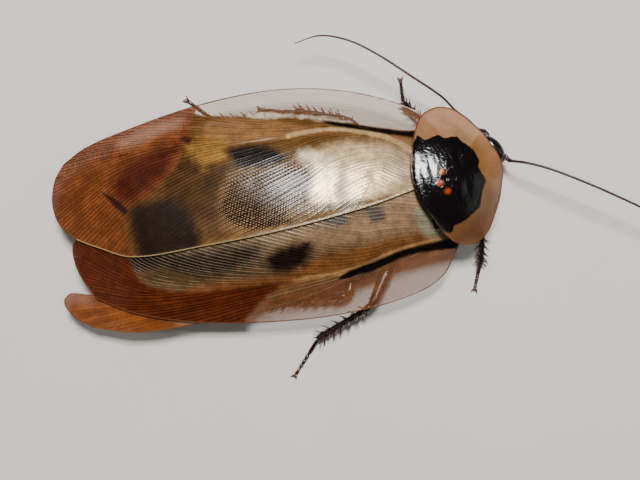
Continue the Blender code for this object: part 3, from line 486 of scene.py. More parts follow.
@dataclass(frozen=True)
class Membrane:
    """Wing membrane: two layers of clear chitin dried thin over a net of raised veins.

    It is glossy and clear amber, pearly where air sits between the layers, and darkest along the
    veins. Veins stand 0.8 mm apart and cross-veins 0.62 mm, set like bricks. Its waxy skin reflects
    less than bare chitin, so its IOR is 1.36, not 1.56.
    """

    name: str
    markings: tuple[Marking, ...]
    cell: str
    vein: str
    rim: str
    seam: str
    alpha: float
    roughness: float = 0.25
    net: float = 0.2
    net_cover: float = 0.14
    cross_spacing: float = 0.62
    vein_blur: float = 0.07
    rim_width: float = 0.2
    relief: float = 0.02
    ior: float = 1.36

    def material(self) -> bpy.types.Material:
        """Build the material. Its meshes carry flow, fork, along, rim, seam and each marking's name."""
        tree = start_material(self.name, {"IOR": self.ior})
        place = add_node(tree, "ShaderNodeTexCoord").outputs["Object"]
        shake, cloud, blotch = (
            add_node(
                tree, "ShaderNodeTexNoise", {"Vector": place, "Scale": 1 / (size * MM), "Detail": 3.0}
            ).outputs["Fac"]
            for size in (1.6, 0.6, 2.6)
        )
        cells = self.draw_cells(tree, shake)
        channels: dict[str, tuple[str, object]] = {
            "cell": ("RGBA", linear(self.cell)),
            "vein": ("RGBA", linear(self.vein)),
            "alpha": ("FLOAT", self.alpha),
            "roughness": ("FLOAT", self.roughness),
            "metal": ("FLOAT", 0.0),
            "net": ("FLOAT", self.net),
        }
        for marking in self.markings:
            distance = add_node(tree, "ShaderNodeAttribute", attribute_name=marking.name).outputs["Fac"]
            mask = ragged_mask(tree, shake, distance, marking.ragged, marking.soft, marking.strength)
            wanted = {
                "cell": linear(marking.cell),
                "vein": linear(marking.vein),
                "alpha": marking.alpha,
                "roughness": marking.roughness,
                "metal": marking.metal,
                "net": marking.net,
            }
            for key, (kind, below) in channels.items():
                first, second, result = (6, 7, 2) if kind == "RGBA" else (2, 3, 0)
                links = {0: mask, first: below, second: wanted[key]}
                blend = add_node(tree, "ShaderNodeMix", links, data_type=kind)
                channels[key] = (kind, blend.outputs[result])
        look = {key: socket for key, (kind, socket) in channels.items()}
        low, high = (
            add_node(tree, "ShaderNodeMath", {0: look["net"], 1: shift}, operation="ADD").outputs[0]
            for shift in (-self.vein_blur, self.vein_blur)
        )
        links = {0: cells["cell"], 1: low, 2: high, 3: 1.0, 4: 0.0}
        net = add_node(tree, "ShaderNodeMapRange", links, interpolation_type="SMOOTHSTEP").outputs[0]
        colour = add_node(
            tree, "ShaderNodeMix", {0: net, 6: look["cell"], 7: look["vein"]}, data_type="RGBA"
        ).outputs[2]
        each = add_node(
            tree, "ShaderNodeTexWhiteNoise", {"W": cells["row"]}, noise_dimensions="1D"
        ).outputs["Value"]
        shades = ((cloud, 0.3, 0.7, 0.82, 1.2), (each, 0.0, 1.0, 0.86, 1.14), (blotch, 0.36, 0.64, 0.8, 1.2))
        for value, low, high, dull, bright in shades:
            shade = add_node(
                tree, "ShaderNodeMapRange", {0: value, 1: low, 2: high, 3: dull, 4: bright}
            ).outputs[0]
            colour = add_node(
                tree, "ShaderNodeVectorMath", {0: colour, "Scale": shade}, operation="SCALE"
            ).outputs[0]
        links = {0: net, 1: self.net_cover, 2: look["alpha"]}
        alpha = add_node(tree, "ShaderNodeMath", links, operation="MULTIPLY_ADD").outputs[0]
        for name, tint in (("seam", self.seam), ("rim", self.rim)):
            away = add_node(tree, "ShaderNodeAttribute", attribute_name=name).outputs["Fac"]
            links = {0: away, 1: self.rim_width * 1.4, 2: self.rim_width * 0.6}
            edge = add_node(tree, "ShaderNodeMapRange", links, interpolation_type="SMOOTHSTEP").outputs[0]
            links = {0: edge, 6: colour, 7: linear(tint)}
            colour = add_node(tree, "ShaderNodeMix", links, data_type="RGBA").outputs[2]
            links = {0: edge, 1: alpha}
            alpha = add_node(tree, "ShaderNodeMath", links, operation="MAXIMUM", use_clamp=True).outputs[0]
        links = {0: cloud, 1: 0.5, 2: cells["ridge"]}
        height = add_node(tree, "ShaderNodeMath", links, operation="MULTIPLY_ADD").outputs[0]
        links = {"Height": height, "Strength": 0.7, "Distance": self.relief * MM}
        bump = add_node(tree, "ShaderNodeBump", links)
        sockets = {"Base Color": colour, "Alpha": alpha, "Normal": bump.outputs[0]}
        sockets |= {"Roughness": look["roughness"], "Metallic": look["metal"]}
        return end_material(self.name, sockets)

    def draw_cells(
        self, tree: bpy.types.NodeTree, shake: bpy.types.NodeSocket
    ) -> dict[str, bpy.types.NodeSocket]:
        """Draw the cells between veins and cross-veins.

        Args:
            tree: The material's tree.
            shake: Noise that moves the forks and bends the cross-veins.

        Returns:
            Sockets by name: cell is 1 in the middle of a cell and falls to 0 on a vein, ridge is the
            height of the net, and row is the number of the row of cells.
        """
        socket = {
            name: add_node(tree, "ShaderNodeAttribute", attribute_name=name).outputs["Fac"]
            for name in ("flow", "fork", "along")
        }
        socket["shake"] = shake
        steps = (
            ("forked", "MULTIPLY_ADD", "shake", 0.5, "fork"),
            ("base", "FLOOR", "forked"),
            ("part", "FRACT", "forked"),
            ("doubling", "POWER", 2.0, "base"),
            ("count", "MULTIPLY", "flow", "doubling"),
            ("main", "PINGPONG", "count", 0.5),
            ("twice", "MULTIPLY", "count", 2.0),
            ("between", "PINGPONG", "twice", 0.5),
            ("narrowing", "ADD", "part", 1.0),
            ("narrowed", "MULTIPLY", "main", "narrowing"),
            ("main_crest", "MULTIPLY_ADD", "narrowed", -2.0, 1.0),
            ("between_crest", "MULTIPLY_ADD", "between", -2.0, 1.0),
            ("new_crest", "MULTIPLY", "between_crest", "part"),
            ("crest", "MAXIMUM", "main_crest", "new_crest"),
            ("level", "ROUND", "forked"),
            ("level_doubling", "POWER", 2.0, "level"),
            ("rows", "MULTIPLY", "flow", "level_doubling"),
            ("row", "FLOOR", "rows"),
            ("offset", "MULTIPLY", "row", 0.5),
            ("bent", "MULTIPLY_ADD", "shake", 0.5, "along"),
            ("bricks", "MULTIPLY_ADD", "bent", 1 / self.cross_spacing, "offset"),
            ("cross", "PINGPONG", "bricks", 0.5),
            ("open", "MULTIPLY_ADD", "cross", 1.3, 0.45),
            ("clear", "SUBTRACT", 1.0, "crest"),
            ("cell", "MULTIPLY", "clear", "open"),
            ("wall", "SUBTRACT", 1.0, "cell"),
            ("ridge", "MULTIPLY", "wall", "wall"),
        )
        for name, operation, *operands in steps:
            links = {i: socket.get(operand, operand) for i, operand in enumerate(operands)}
            socket[name] = add_node(tree, "ShaderNodeMath", links, operation=operation).outputs[0]
        return {name: socket[name] for name in ("cell", "ridge", "row")}


@dataclass(frozen=True)
class ShieldChitin:
    """Pronotum cuticle: a clear horny brim round a thick black middle.

    The brim passes a little light, like thin horn. The black patch is opaque, very glossy and
    finely wrinkled, with three windows of orange in it.
    """

    name: str = "pronotum_cuticle"
    brim: str = "#a97650"
    # Colour of the painted shade that darkens the brim towards its right side, away from the light.
    dusk: str = "#5c3a22"
    glow: str = "#8a5f2c"
    edge: str = "#6b3a1c"
    black: str = "#050303"
    spot: str = "#9c3e10"
    brim_alpha: float = 0.7
    ior: float = 1.48
    coat: float = 0.2

    def material(self) -> bpy.types.Material:
        """Build the material. Its mesh carries patch, spots, rim, glow and dusk."""
        tree = start_material(self.name, {"IOR": self.ior, "Coat Weight": self.coat, "Coat Roughness": 0.05})
        place = add_node(tree, "ShaderNodeTexCoord").outputs["Object"]
        value = {
            name: add_node(tree, "ShaderNodeAttribute", attribute_name=name).outputs["Fac"]
            for name in ("patch", "spots", "rim", "glow", "dusk")
        }
        shake = add_node(
            tree, "ShaderNodeTexNoise", {"Vector": place, "Scale": 1 / (0.9 * MM), "Detail": 3.0}
        ).outputs["Fac"]
        masks = {}
        for name, ragged, soft in (("patch", 0.35, 0.1), ("spots", 0.3, 0.36), ("rim", 0.04, 0.1)):
            masks[name] = ragged_mask(tree, shake, value[name], ragged, soft)
        cloud = add_node(
            tree, "ShaderNodeTexNoise", {"Vector": place, "Scale": 1 / (3.0 * MM), "Detail": 4.0}
        ).outputs["Fac"]
        shade = add_node(tree, "ShaderNodeMapRange", {0: cloud, 1: 0.3, 2: 0.7, 3: 0.85, 4: 1.15}).outputs[0]
        colour = linear(self.brim)
        for mask, tint in ((value["dusk"], self.dusk), (value["glow"], self.glow), (masks["rim"], self.edge)):
            links = {0: mask, 6: colour, 7: linear(tint)}
            colour = add_node(tree, "ShaderNodeMix", links, data_type="RGBA").outputs[2]
        colour = add_node(
            tree, "ShaderNodeVectorMath", {0: colour, "Scale": shade}, operation="SCALE"
        ).outputs[0]
        for mask, tint in ((masks["patch"], self.black), (masks["spots"], self.spot)):
            links = {0: mask, 6: colour, 7: linear(tint)}
            colour = add_node(tree, "ShaderNodeMix", links, data_type="RGBA").outputs[2]
        solid = add_node(
            tree, "ShaderNodeMath", {0: masks["patch"], 1: masks["rim"]}, operation="MAXIMUM"
        ).outputs[0]
        alpha = add_node(tree, "ShaderNodeMapRange", {0: solid, 3: self.brim_alpha, 4: 1.0}).outputs[0]
        rough = add_node(tree, "ShaderNodeMapRange", {0: masks["patch"], 3: 0.26, 4: 0.13}).outputs[0]
        links = {"Vector": place, "Scale": 1 / (0.45 * MM), "Detail": 3.0, "Distortion": 0.6}
        wrinkle = add_node(tree, "ShaderNodeTexNoise", links).outputs["Fac"]
        raised = add_node(tree, "ShaderNodeMapRange", {0: masks["patch"], 3: 0.15, 4: 1.0}).outputs[0]
        height = add_node(tree, "ShaderNodeMath", {0: wrinkle, 1: raised}, operation="MULTIPLY").outputs[0]
        bump = add_node(tree, "ShaderNodeBump", {"Height": height, "Strength": 0.6, "Distance": 0.08 * MM})
        sockets = {"Base Color": colour, "Alpha": alpha, "Roughness": rough, "Normal": bump.outputs[0]}
        return end_material(self.name, sockets)


@dataclass(frozen=True)
class EyeFacets:
    """Compound eye: thousands of clear lenses over black pigment, so a dark, wet gloss.

    Real facets are 0.03 mm across. They are drawn at 0.12 mm, so that they show.
    """

    name: str = "eye_facets"
    colour: str = "#0a0807"
    groove: str = "#2b211b"
    facet: float = 0.12

    def material(self) -> bpy.types.Material:
        """Build the material."""
        tree = start_material(self.name, {"IOR": 1.5, "Coat Weight": 0.8, "Coat Roughness": 0.04})
        place = add_node(tree, "ShaderNodeTexCoord").outputs["Object"]
        cells = add_node(tree, "ShaderNodeTexVoronoi", {"Vector": place, "Scale": 1 / (self.facet * MM)})
        away = cells.outputs["Distance"]
        links = {0: away, 6: linear(self.colour), 7: linear(self.groove)}
        tint = add_node(tree, "ShaderNodeMix", links, data_type="RGBA").outputs[2]
        rough = add_node(tree, "ShaderNodeMapRange", {0: away, 3: 0.12, 4: 0.3}).outputs[0]
        links = {"Height": away, "Strength": 0.5, "Distance": 0.03 * MM}
        bump = add_node(tree, "ShaderNodeBump", links, invert=True)
        sockets = {"Base Color": tint, "Roughness": rough, "Normal": bump.outputs[0]}
        return end_material(self.name, sockets)


@dataclass(frozen=True)
class Board:
    """Matt painted display board, which gives a plain pale ground."""

    name: str = "display_board"
    colour: str = "#dedad2"

    def material(self) -> bpy.types.Material:
        """Build the material."""
        tree = start_material(self.name, {"Roughness": 0.8})
        place = add_node(tree, "ShaderNodeTexCoord").outputs["Object"]
        cloud = add_node(tree, "ShaderNodeTexNoise", {"Vector": place, "Scale": 1 / (20 * MM)}).outputs["Fac"]
        shade = add_node(tree, "ShaderNodeMapRange", {0: cloud, 3: 0.97, 4: 1.03}).outputs[0]
        colour = add_node(
            tree, "ShaderNodeVectorMath", {0: linear(self.colour)[:3], "Scale": shade}, operation="SCALE"
        ).outputs[0]
        return end_material(self.name, {"Base Color": colour})


@dataclass(frozen=True)
class WingStack:
    """The domed surface that the four folded wings share, and how deep each lies in it."""

    ridge_height: Profile = Profile(
        ((8, 10.3), (0, 10.9), (-15, 12.2), (-30, 12.2), (-45, 11.1), (-57, 9.4), (-66, 7.2), (-75, 5.6))
    )
    edge_drop: Profile = Profile((
        (8, 4.3), (0, 5.1), (-15, 6.3), (-30, 6.2), (-45, 5.0), (-60, 2.9), (-75, 1.5)
    ))
    half_width_left: Profile = Profile((
        (8, 14.5), (-8, 22.3), (-20, 25.6), (-30, 26.5), (-45, 25), (-75, 23)
    ))
    half_width_right: Profile = Profile(
        ((8, 13), (1, 18.2), (-8, 20.8), (-20, 21.1), (-36, 19), (-50, 18), (-75, 17))
    )
    fold_left: Profile = Profile(((8, 9.8), (-13, 16.3), (-28, 20.5), (-45, 21.3), (-75, 20)))
    fold_right: Profile = Profile(((8, 11.0), (-5, 11.7), (-16, 13.1), (-30, 14.2), (-45, 14.2), (-75, 13.5)))
    fold_share: float = 0.78
    fold_power: float = 2.4
    fades_from: float = -30.0
    fades_over: float = 20.0
    layer: float = 0.55
    right_rest: float = 0.3
    overlap_edge: float = -2.5
    overlap_width: float = 6.0
    right_inner_edge: float = 5.5

    def fold(self, x: np.ndarray, y: np.ndarray) -> np.ndarray:
        """Give how far out the wing folds down, on each point's own side."""
        return np.where(y > 0, self.fold_left(x), self.fold_right(x))

    def dome(self, x: np.ndarray, y: np.ndarray) -> np.ndarray:
        """Give the height of the upper face of the left tegmen, or where it would be."""
        half_width = np.where(y > 0, self.half_width_left(x), self.half_width_right(x))
        fold = self.fold(x, y) / half_width
        reach = np.abs(y) / half_width
        inner = self.fold_share * (reach / fold) ** self.fold_power
        outer = self.fold_share + (1 - self.fold_share) * (reach - fold) / (1 - fold)
        folded = np.where(reach < fold, inner, outer)
        share = mix(folded, reach * reach, ease((self.fades_from - x) / self.fades_over))
        return self.ridge_height(x) - self.edge_drop(x) * share

    def left_tegmen(self, x: np.ndarray, y: np.ndarray) -> np.ndarray:
        """Give the left tegmen's depth, which lies on top."""
        return np.zeros_like(x)

    def right_tegmen(self, x: np.ndarray, y: np.ndarray) -> np.ndarray:
        """Give how far the right tegmen lies under the dome."""
        return mix(self.layer, self.right_rest, ease((self.overlap_edge - y) / self.overlap_width))

    def hindwing(self, x: np.ndarray, y: np.ndarray) -> np.ndarray:
        """Give how far the hind wings lie under the dome."""
        covered = self.right_tegmen(x, y) + self.layer
        beside = mix(2 * self.layer, self.layer, ease((y - self.right_inner_edge - 2.0) / self.overlap_width))
        return np.where(y < self.right_inner_edge, covered, beside)


@dataclass(frozen=True)
class VeinField:
    """Fine veins that leave a stem one by one, lean away from it and fork where they spread."""

    stem: tuple[tuple[float, float], ...]
    side: Side
    inward: Profile = Profile(((0, 3), (2, 9), (5, 17), (9, 22), (14, 25), (22, 26)))
    outward: Profile = Profile(((0, 3), (3, 8), (6, 11), (10, 12)))
    spacing: float = 0.8
    widest: float = 60.0

    def beside(self, x: np.ndarray, y: np.ndarray) -> tuple[np.ndarray, np.ndarray]:
        """Measure points against the stem.

        Args:
            x: Places along the body.
            y: Places across it.

        Returns:
            Each point's way along the stem from the root, and how far inward of the stem it lies.
        """
        line = Track(self.stem, steps=12).points[:, :2]
        runs = np.diff(line, axis=0)
        lengths = np.hypot(*runs.T)
        travelled = np.concatenate([[0.0], np.cumsum(lengths)])
        nearest = np.full(x.shape, np.inf)
        along, inward = np.zeros(x.shape), np.zeros(x.shape)
        for i, ((ax, ay), (dx, dy), length) in enumerate(zip(line, runs, lengths)):
            share = ((x - ax) * dx + (y - ay) * dy) / length**2
            share = np.clip(share, -np.inf if i == 0 else 0.0, np.inf if i == len(runs) - 1 else 1.0)
            away = np.hypot(x - ax - share * dx, y - ay - share * dy)
            left = np.sign(dx * (y - ay) - dy * (x - ax)) * self.side.value
            closer = away < nearest
            nearest = np.where(closer, away, nearest)
            along = np.where(closer, travelled[i] + share * length, along)
            inward = np.where(closer, left * away, inward)
        return along, inward

    def read(self, x: np.ndarray, y: np.ndarray) -> dict[str, np.ndarray]:
        """Give each point's count of veins, forks, way along the veins and distance from the stem."""
        way, inward = self.beside(x, y)
        reach, step = np.linspace(0.0, self.widest, 1201, retstep=True)
        steepest = math.sin(math.radians(max(lean for _, lean in self.inward.rows)))
        flow, fork, along = np.zeros(x.shape), np.zeros(x.shape), np.zeros(x.shape)
        for leans, chosen in ((self.inward, inward >= 0), (self.outward, inward < 0)):
            lean = np.radians(leans(reach))
            away = np.abs(inward)
            for kept, rate, sign in ((flow, 1 / np.tan(lean), -1), (along, np.tan(lean), 1)):
                total = np.concatenate([[0.0], np.cumsum((rate[1:] + rate[:-1]) / 2 * step)])
                kept += np.where(chosen, way + sign * np.interp(away, reach, total), 0.0)
            fork += np.where(chosen, np.log2(np.sin(np.interp(away, reach, lean)) / steepest) + 0.5, 0.0)
        return {"flow": flow * steepest / self.spacing, "fork": fork, "along": along, "stem": inward}

    def crests(self, flow: np.ndarray, fork: np.ndarray) -> tuple[np.ndarray, np.ndarray]:
        """Find the fine veins and every fourth, stronger vein.

        Args:
            flow: Count of veins at each point.
            fork: How often the veins have forked there.

        Returns:
            For each kind, 1 on a vein, falling to 0 half way to the next or nearer.
        """
        base = np.floor(fork)
        part, count = fork - base, flow * 2.0**base
        off = {share: np.abs(count * share - np.round(count * share)) for share in (0.25, 0.5, 1.0, 2.0)}
        fine = np.maximum(1 - 2 * (1 + part) * off[1.0], (1 - 2 * off[2.0]) * part)
        strong = np.maximum(
            np.clip(1 - 8 * (1 + part) * off[0.25], 0, 1), np.clip(1 - 8 * off[0.5], 0, 1) * part
        )
        return fine, strong


@dataclass
class FoldedWing:
    """One folded wing: a closed domed sheet with raised veins, wide or narrow by its outline."""

    name: str
    base: tuple
    costal: tuple
    apex: tuple
    inner: tuple
    depth: Callable[[np.ndarray, np.ndarray], np.ndarray]
    veins: VeinField
    markings: tuple[Marking, ...]
    stack: WingStack = field(default_factory=WingStack)
    rows: int = 250
    columns: int = 190
    thickness: float = 0.14
    vein_height: float = 0.01
    strong_height: float = 0.02
    stem_height: float = 0.09
    stem_length: float = 38.0
    stem_width: float = 0.32
    vein_fade: float = 1.2
    sag: float = 0.08
    dents: float = 0.015
    bead: float = 0.08
    bead_width: float = 0.5
    fold_bead: float = 0.0
    fold_width: float = 0.9

    def plan(self) -> tuple[np.ndarray, np.ndarray]:
        """Spread a grid between the wing's four edges, and give X and Y of its points."""
        u, v = np.linspace(0, 1, self.rows)[:, None], np.linspace(0, 1, self.columns)[None, :]
        base, costal, apex, inner = (Track(edge) for edge in (self.base, self.costal, self.apex, self.inner))
        roots, tips = base.at(v[0])[None, :, :2], apex.at(v[0])[None, :, :2]
        fronts, backs = costal.at(u[:, 0])[:, None, :2], inner.at(u[:, 0])[:, None, :2]
        along, across = u[..., None], v[..., None]
        spread = roots * (1 - along) + tips * along + backs * (1 - across) + fronts * across
        spread -= (roots[:, :1] * (1 - across) + roots[:, -1:] * across) * (1 - along)
        spread -= (tips[:, :1] * (1 - across) + tips[:, -1:] * across) * along
        return spread[..., 0], spread[..., 1]

    def margins(self) -> dict[str, np.ndarray]:
        """Give the wing's edges by name, the whole margin as a closed line among them."""
        edges = [Track(edge).points[:, :2] for edge in (self.base, self.costal, self.apex, self.inner)]
        return {
            "whole": np.vstack([edges[0], edges[1][1:], edges[2][-2::-1], edges[3][-2:0:-1]]),
            "rim": np.vstack([edges[1], edges[2][-2::-1]]),
            "seam": edges[3],
        }

    def build(self, finish: bpy.types.Material, slot: str) -> bpy.types.Object:
        """Make the wing.

        Args:
            finish: The membrane's material.
            slot: The record's material slot.

        Returns:
            The wing's piece.
        """
        x, y = self.plan()
        veins = self.veins.read(x, y)
        fine, strong = self.veins.crests(veins["flow"], veins["fork"])
        margins = self.margins()
        inside = np.maximum(-distance_to(x, y, margins["whole"], closed=True), 0.0)
        fade, edge = ease(inside / self.vein_fade), 1 - ease(inside / self.bead_width)
        top = self.stack.dome(x, y) - self.depth(x, y)
        place = np.stack([x, y, top], -1)
        raised = self.vein_height * ease(fine) + self.strong_height * ease(strong)
        stem = np.exp(-((veins.pop("stem") / self.stem_width) ** 2))
        stem = stem * ease((self.stem_length + 2.0 + x) / 8.0)
        raised = raised + self.stem_height * stem + self.sag * ripple(place, 7.0, 3.1)
        raised = raised + self.dents * ripple(place, 1.7, 8.3)
        fold = np.exp(-(((np.abs(y) - self.stack.fold(x, y)) / self.fold_width) ** 2)) * ease((x + 48) / 10)
        top = top + (raised + self.fold_bead * fold) * fade + self.bead * edge
        upper = np.stack([x, y, top], -1)
        lower = upper - UP * (self.thickness + 2 * self.bead * edge[..., None])
        values = {marking.name: marking.distance(x, y) for marking in self.markings}
        values |= {name: distance_to(x, y, margins[name], closed=False) for name in ("rim", "seam")}
        values |= veins
        skin = Skin(*values)
        skin.add_sheet(upper, lower, **values)
        return skin.build(self.name, finish, slot)


STREAK_LEFT = (
    (6.5, 11.8), (2.0, 12.0), (-4, 13.8), (-9.5, 15.7), (-14.5, 17.2), (-12.2, 15.6), (-9.5, 14.6),
    (-4, 12.6), (2.1, 10.5), (6, 10.0),
)
STREAK_RIGHT = (
    (7.4, -12.0), (5, -12.4), (-1, -12.0), (-5, -12.4), (-11.1, -13.8), (-17.5, -14.2), (-15, -12.9),
    (-9, -11.9), (-5, -11.1), (-1.0, -10.7), (4, -10.6), (7, -10.6),
)
SPOT_LEFT = (
    (-34.2, 14.2), (-32.2, 14.8), (-27.8, 14.3), (-24.7, 12.9), (-22.7, 10.3), (-24.4, 9.3), (-28.7, 9.1),
    (-32.9, 10.7),
)
SPOT_RIGHT = (
    (-31.3, -8.2), (-28.5, -6.8), (-25.1, -6.3), (-21.1, -5.9), (-21.9, -8.1), (-23.4, -10.3),
    (-26.4, -10.9), (-30.1, -10.0),
)

LEFT_MARKINGS = (
    Marking("band", (
        (4, 8.6), (-1.6, 12.0), (-8, 13.6), (-16, 15.8), (-28, 20.4), (-36, 21.6), (-38, 19), (-36, 15.6),
        (-25, 14.8), (-17, 14.6), (-8, 13.4), (-2, 10.4), (3, 7.4),
    ), "#74502f", "#946838", net=0.16, soft=0.8, ragged=0.5),
    Marking("olive", (
        (-43.6, 16.0), (-38.5, 14.6), (-34.4, 11.4), (-35.6, 6.0), (-36.4, 1.4), (-40.5, 1.2), (-45.5, 3.0),
        (-49.0, 8.6),
    ), "#4a3012", "#241405", roughness=0.22, net=0.3, soft=1.9, ragged=1.2),
    # Painted glints: golden sparkle of light on the membrane, drawn as a bright metallic tint.
    Marking("glint", (
        (-41.6, 16.4), (-37.7, 17.6), (-34.0, 16.4), (-34.6, 13.0), (-39.7, 11.9),
    ), "#a87c38", "#744c24", roughness=0.22, metal=0.3, net=0.3, soft=1.3, ragged=1.4, strength=0.85),
    Marking("front", (
        (5, -1), (4, 7.2), (-1.2, 9.8), (-9, 11.8), (-14.3, 11.8), (-20.6, 10.2), (-24, 6.5), (-23.0, 1.4),
        (-16, -3.6), (0, -1.8),
    ), "#947656", "#ab8b62", roughness=0.25, metal=0.15, net=0.2, soft=1.6, ragged=0.8),
    Marking("clavus", (
        (-2.6, 1.6), (-1.8, 6.8), (-6, 9.6), (-13, 10.6), (-18.6, 8.8), (-21.6, 5.8), (-19.7, 1.4),
        (-14.5, -1.0), (-6.5, -0.6),
    ), "#dcbd8e", "#efd9ae", roughness=0.24, metal=0.2, net=0.18, soft=2.4, ragged=1.4),
    # Painted highlight: a whiter patch on the pearly clavus where the key light's reflection falls.
    Marking("clavus_white", (
        (-13.5, 6.5), (-16.5, 10.0), (-20.0, 11.4), (-20.6, 9.0), (-18.0, 6.6), (-14.5, 4.4),
    ), "#f4e2bc", "#fff2d6", roughness=0.22, metal=0.2, net=0.16, soft=1.4, ragged=1.0, strength=0.8),
    Marking("clavus_grey", (
        (-11.8, 7.6), (-12.8, 8.0), (-14.4, 4.0), (-15.0, 0.6), (-13.4, 0.2), (-12.6, 4.0),
    ), "#8b7d68", "#a89678", net=0.18, soft=0.9, ragged=1.2, strength=0.75),
    Marking("clavus_shade", (
        (1.8, 1.5), (0.6, 7.4), (-3.4, 8.6), (-6.4, 8.2), (-4.6, 5.0), (-2.4, 3.6), (-1.4, 1.0),
    ), "#7f6a58", "#a08c70", net=0.2, soft=1.0, ragged=2.4, strength=0.6),
    Marking("clavus_knot", (
        (-7.2, 5.2), (-8.4, 5.0), (-8.6, 3.0), (-7.2, 3.2),
    ), "#8b7d68", "#a89678", net=0.18, soft=0.7, ragged=1.0, strength=0.7),
    # The gauze's dark net is the veins' own colour; its gold cells are partly painted glints of light in the
    # cell windows.
    Marking("gauze", (
        (-18.8, 8.4), (-19.6, 2.0), (-23.5, -2.4), (-29.9, -3.0), (-37, 1.0), (-35.6, 6.7), (-31, 9.8),
        (-24, 12.0),
    ), "#a8804e", "#1c0e07", roughness=0.18, net=0.66, soft=1.6, ragged=1.2),
    Marking("seam_glow", (
        (-1, -1.2), (-9.0, -1.4), (-25.0, -2.5), (-42.0, -2.6), (-55, -2.0), (-55, -4.5), (-9, -4.5),
    ), "#684a24", "#8c6c3c", roughness=0.25, net=0.2, soft=0.7, ragged=0.5, strength=0.8),
    Marking("suture_gold", (
        (-13.6, -0.2), (-19, 0.5), (-23.6, 1.0), (-24.6, -1.2), (-19, -2.2), (-12.0, -1.8), (-4.0, -1.2),
        (-4.0, -0.6),
    ), "#664c22", "#4a3414", roughness=0.2, net=0.22, soft=0.8, ragged=0.8, strength=0.95),
    Marking("spot", SPOT_LEFT, "#110705", "#22130d", roughness=0.24, net=0.12, soft=1.3, ragged=1.1),
    Marking("abdomen", (
        (-55.0, 6.3), (-50.4, 7.6), (-45.2, 6.4), (-42.6, 2.4), (-42.6, -4.5), (-56, -4.5),
    ), "#1a0d07", "#0c0603", roughness=0.28, net=0.24, soft=1.7, ragged=1.0, strength=0.95),
    Marking("costal", (
        (9, 11.5), (2, 12.0), (-4, 13.7), (-9.5, 15.5), (-14, 16.9), (-20, 18.8), (-28.4, 20.7),
        (-34, 21.8), (-40, 24.2), (-41, 30), (-20, 31), (9, 24),
    ), "#925c34", "#6c4020", alpha=0.19, roughness=0.24, net=0.06, soft=0.4, ragged=0.25),
    # Painted highlight: a pale, half-clear streak along the costal fold where the light's reflection falls.
    Marking("fold_shine", (
        (-6, 14.9), (-13, 17.6), (-20, 19.8), (-29, 21.5), (-29, 20.5), (-20, 18.8), (-13, 16.9),
    ), "#d8c8b0", "#c8ac88", alpha=0.5, roughness=0.2, net=0.1, soft=0.35, ragged=0.8, strength=0.8),
    # The apex's red amber, darkest in apex_deep, is partly the membrane's own colour and partly painted shade
    # of a dark, shaded ground seen through the tip.
    Marking("apex", (
        (-39.0, 26), (-40.6, 20.5), (-41.6, 18.0), (-44.7, 12.7), (-50.3, 8.8), (-54.8, 6.7), (-56.0, 2),
        (-56.2, -6), (-76, -6), (-76, 12), (-66, 26),
    ), "#7a4322", "#3a1206", alpha=0.8, roughness=0.24, net=0.24, soft=0.5, ragged=0.3),
    Marking("apex_deep", (
        (-43.0, 17.6), (-49.5, 17.4), (-56.0, 14.4), (-57.6, 10.6), (-55.0, 7.6), (-50.0, 9.6),
        (-45.6, 12.8),
    ), "#4a1c0d", "#280a04", alpha=0.92, roughness=0.24, net=0.26, soft=1.9, ragged=0.7),
    Marking("apex_glow", (
        (-41.6, 23.6), (-42.6, 20.6), (-47.0, 19.6), (-53.0, 18.6), (-55.0, 20.6), (-49.0, 22.8),
    ), "#8f5228", "#5a2410", alpha=0.62, roughness=0.24, net=0.18, soft=1.2, ragged=0.6, strength=0.85),
    Marking("knot", (
        (-42.6, 18.6), (-41.4, 19.2), (-40.6, 18.2), (-41.4, 17.2),
    ), "#3a0f06", "#3a0f06", soft=0.4, ragged=0.3),
    Marking("cercus", (
        (-59.8, 11.5), (-57.4, 9.6), (-55.0, 6.6), (-55.6, 5.8), (-57.8, 8.4),
    ), "#120806", "#120806", soft=0.4, ragged=0.3, strength=0.9),
    Marking("arc", (
        (2.3, 7.3), (-1.4, 10.9), (-5.8, 13.4), (-10.6, 15.0), (-15.6, 15.7), (-22, 15.5), (-22, 14.6),
        (-15.5, 14.8), (-10.8, 14.0), (-6.2, 12.4), (-2.0, 9.9), (1.5, 6.8),
    ), "#c9a676", "#c9a676", roughness=0.24, net=0.05, soft=0.3, ragged=0.3, strength=0.5),
    Marking("streak", STREAK_LEFT, "#0a0504", "#120805", roughness=0.16, net=0.06, soft=0.3, ragged=0.25),
)
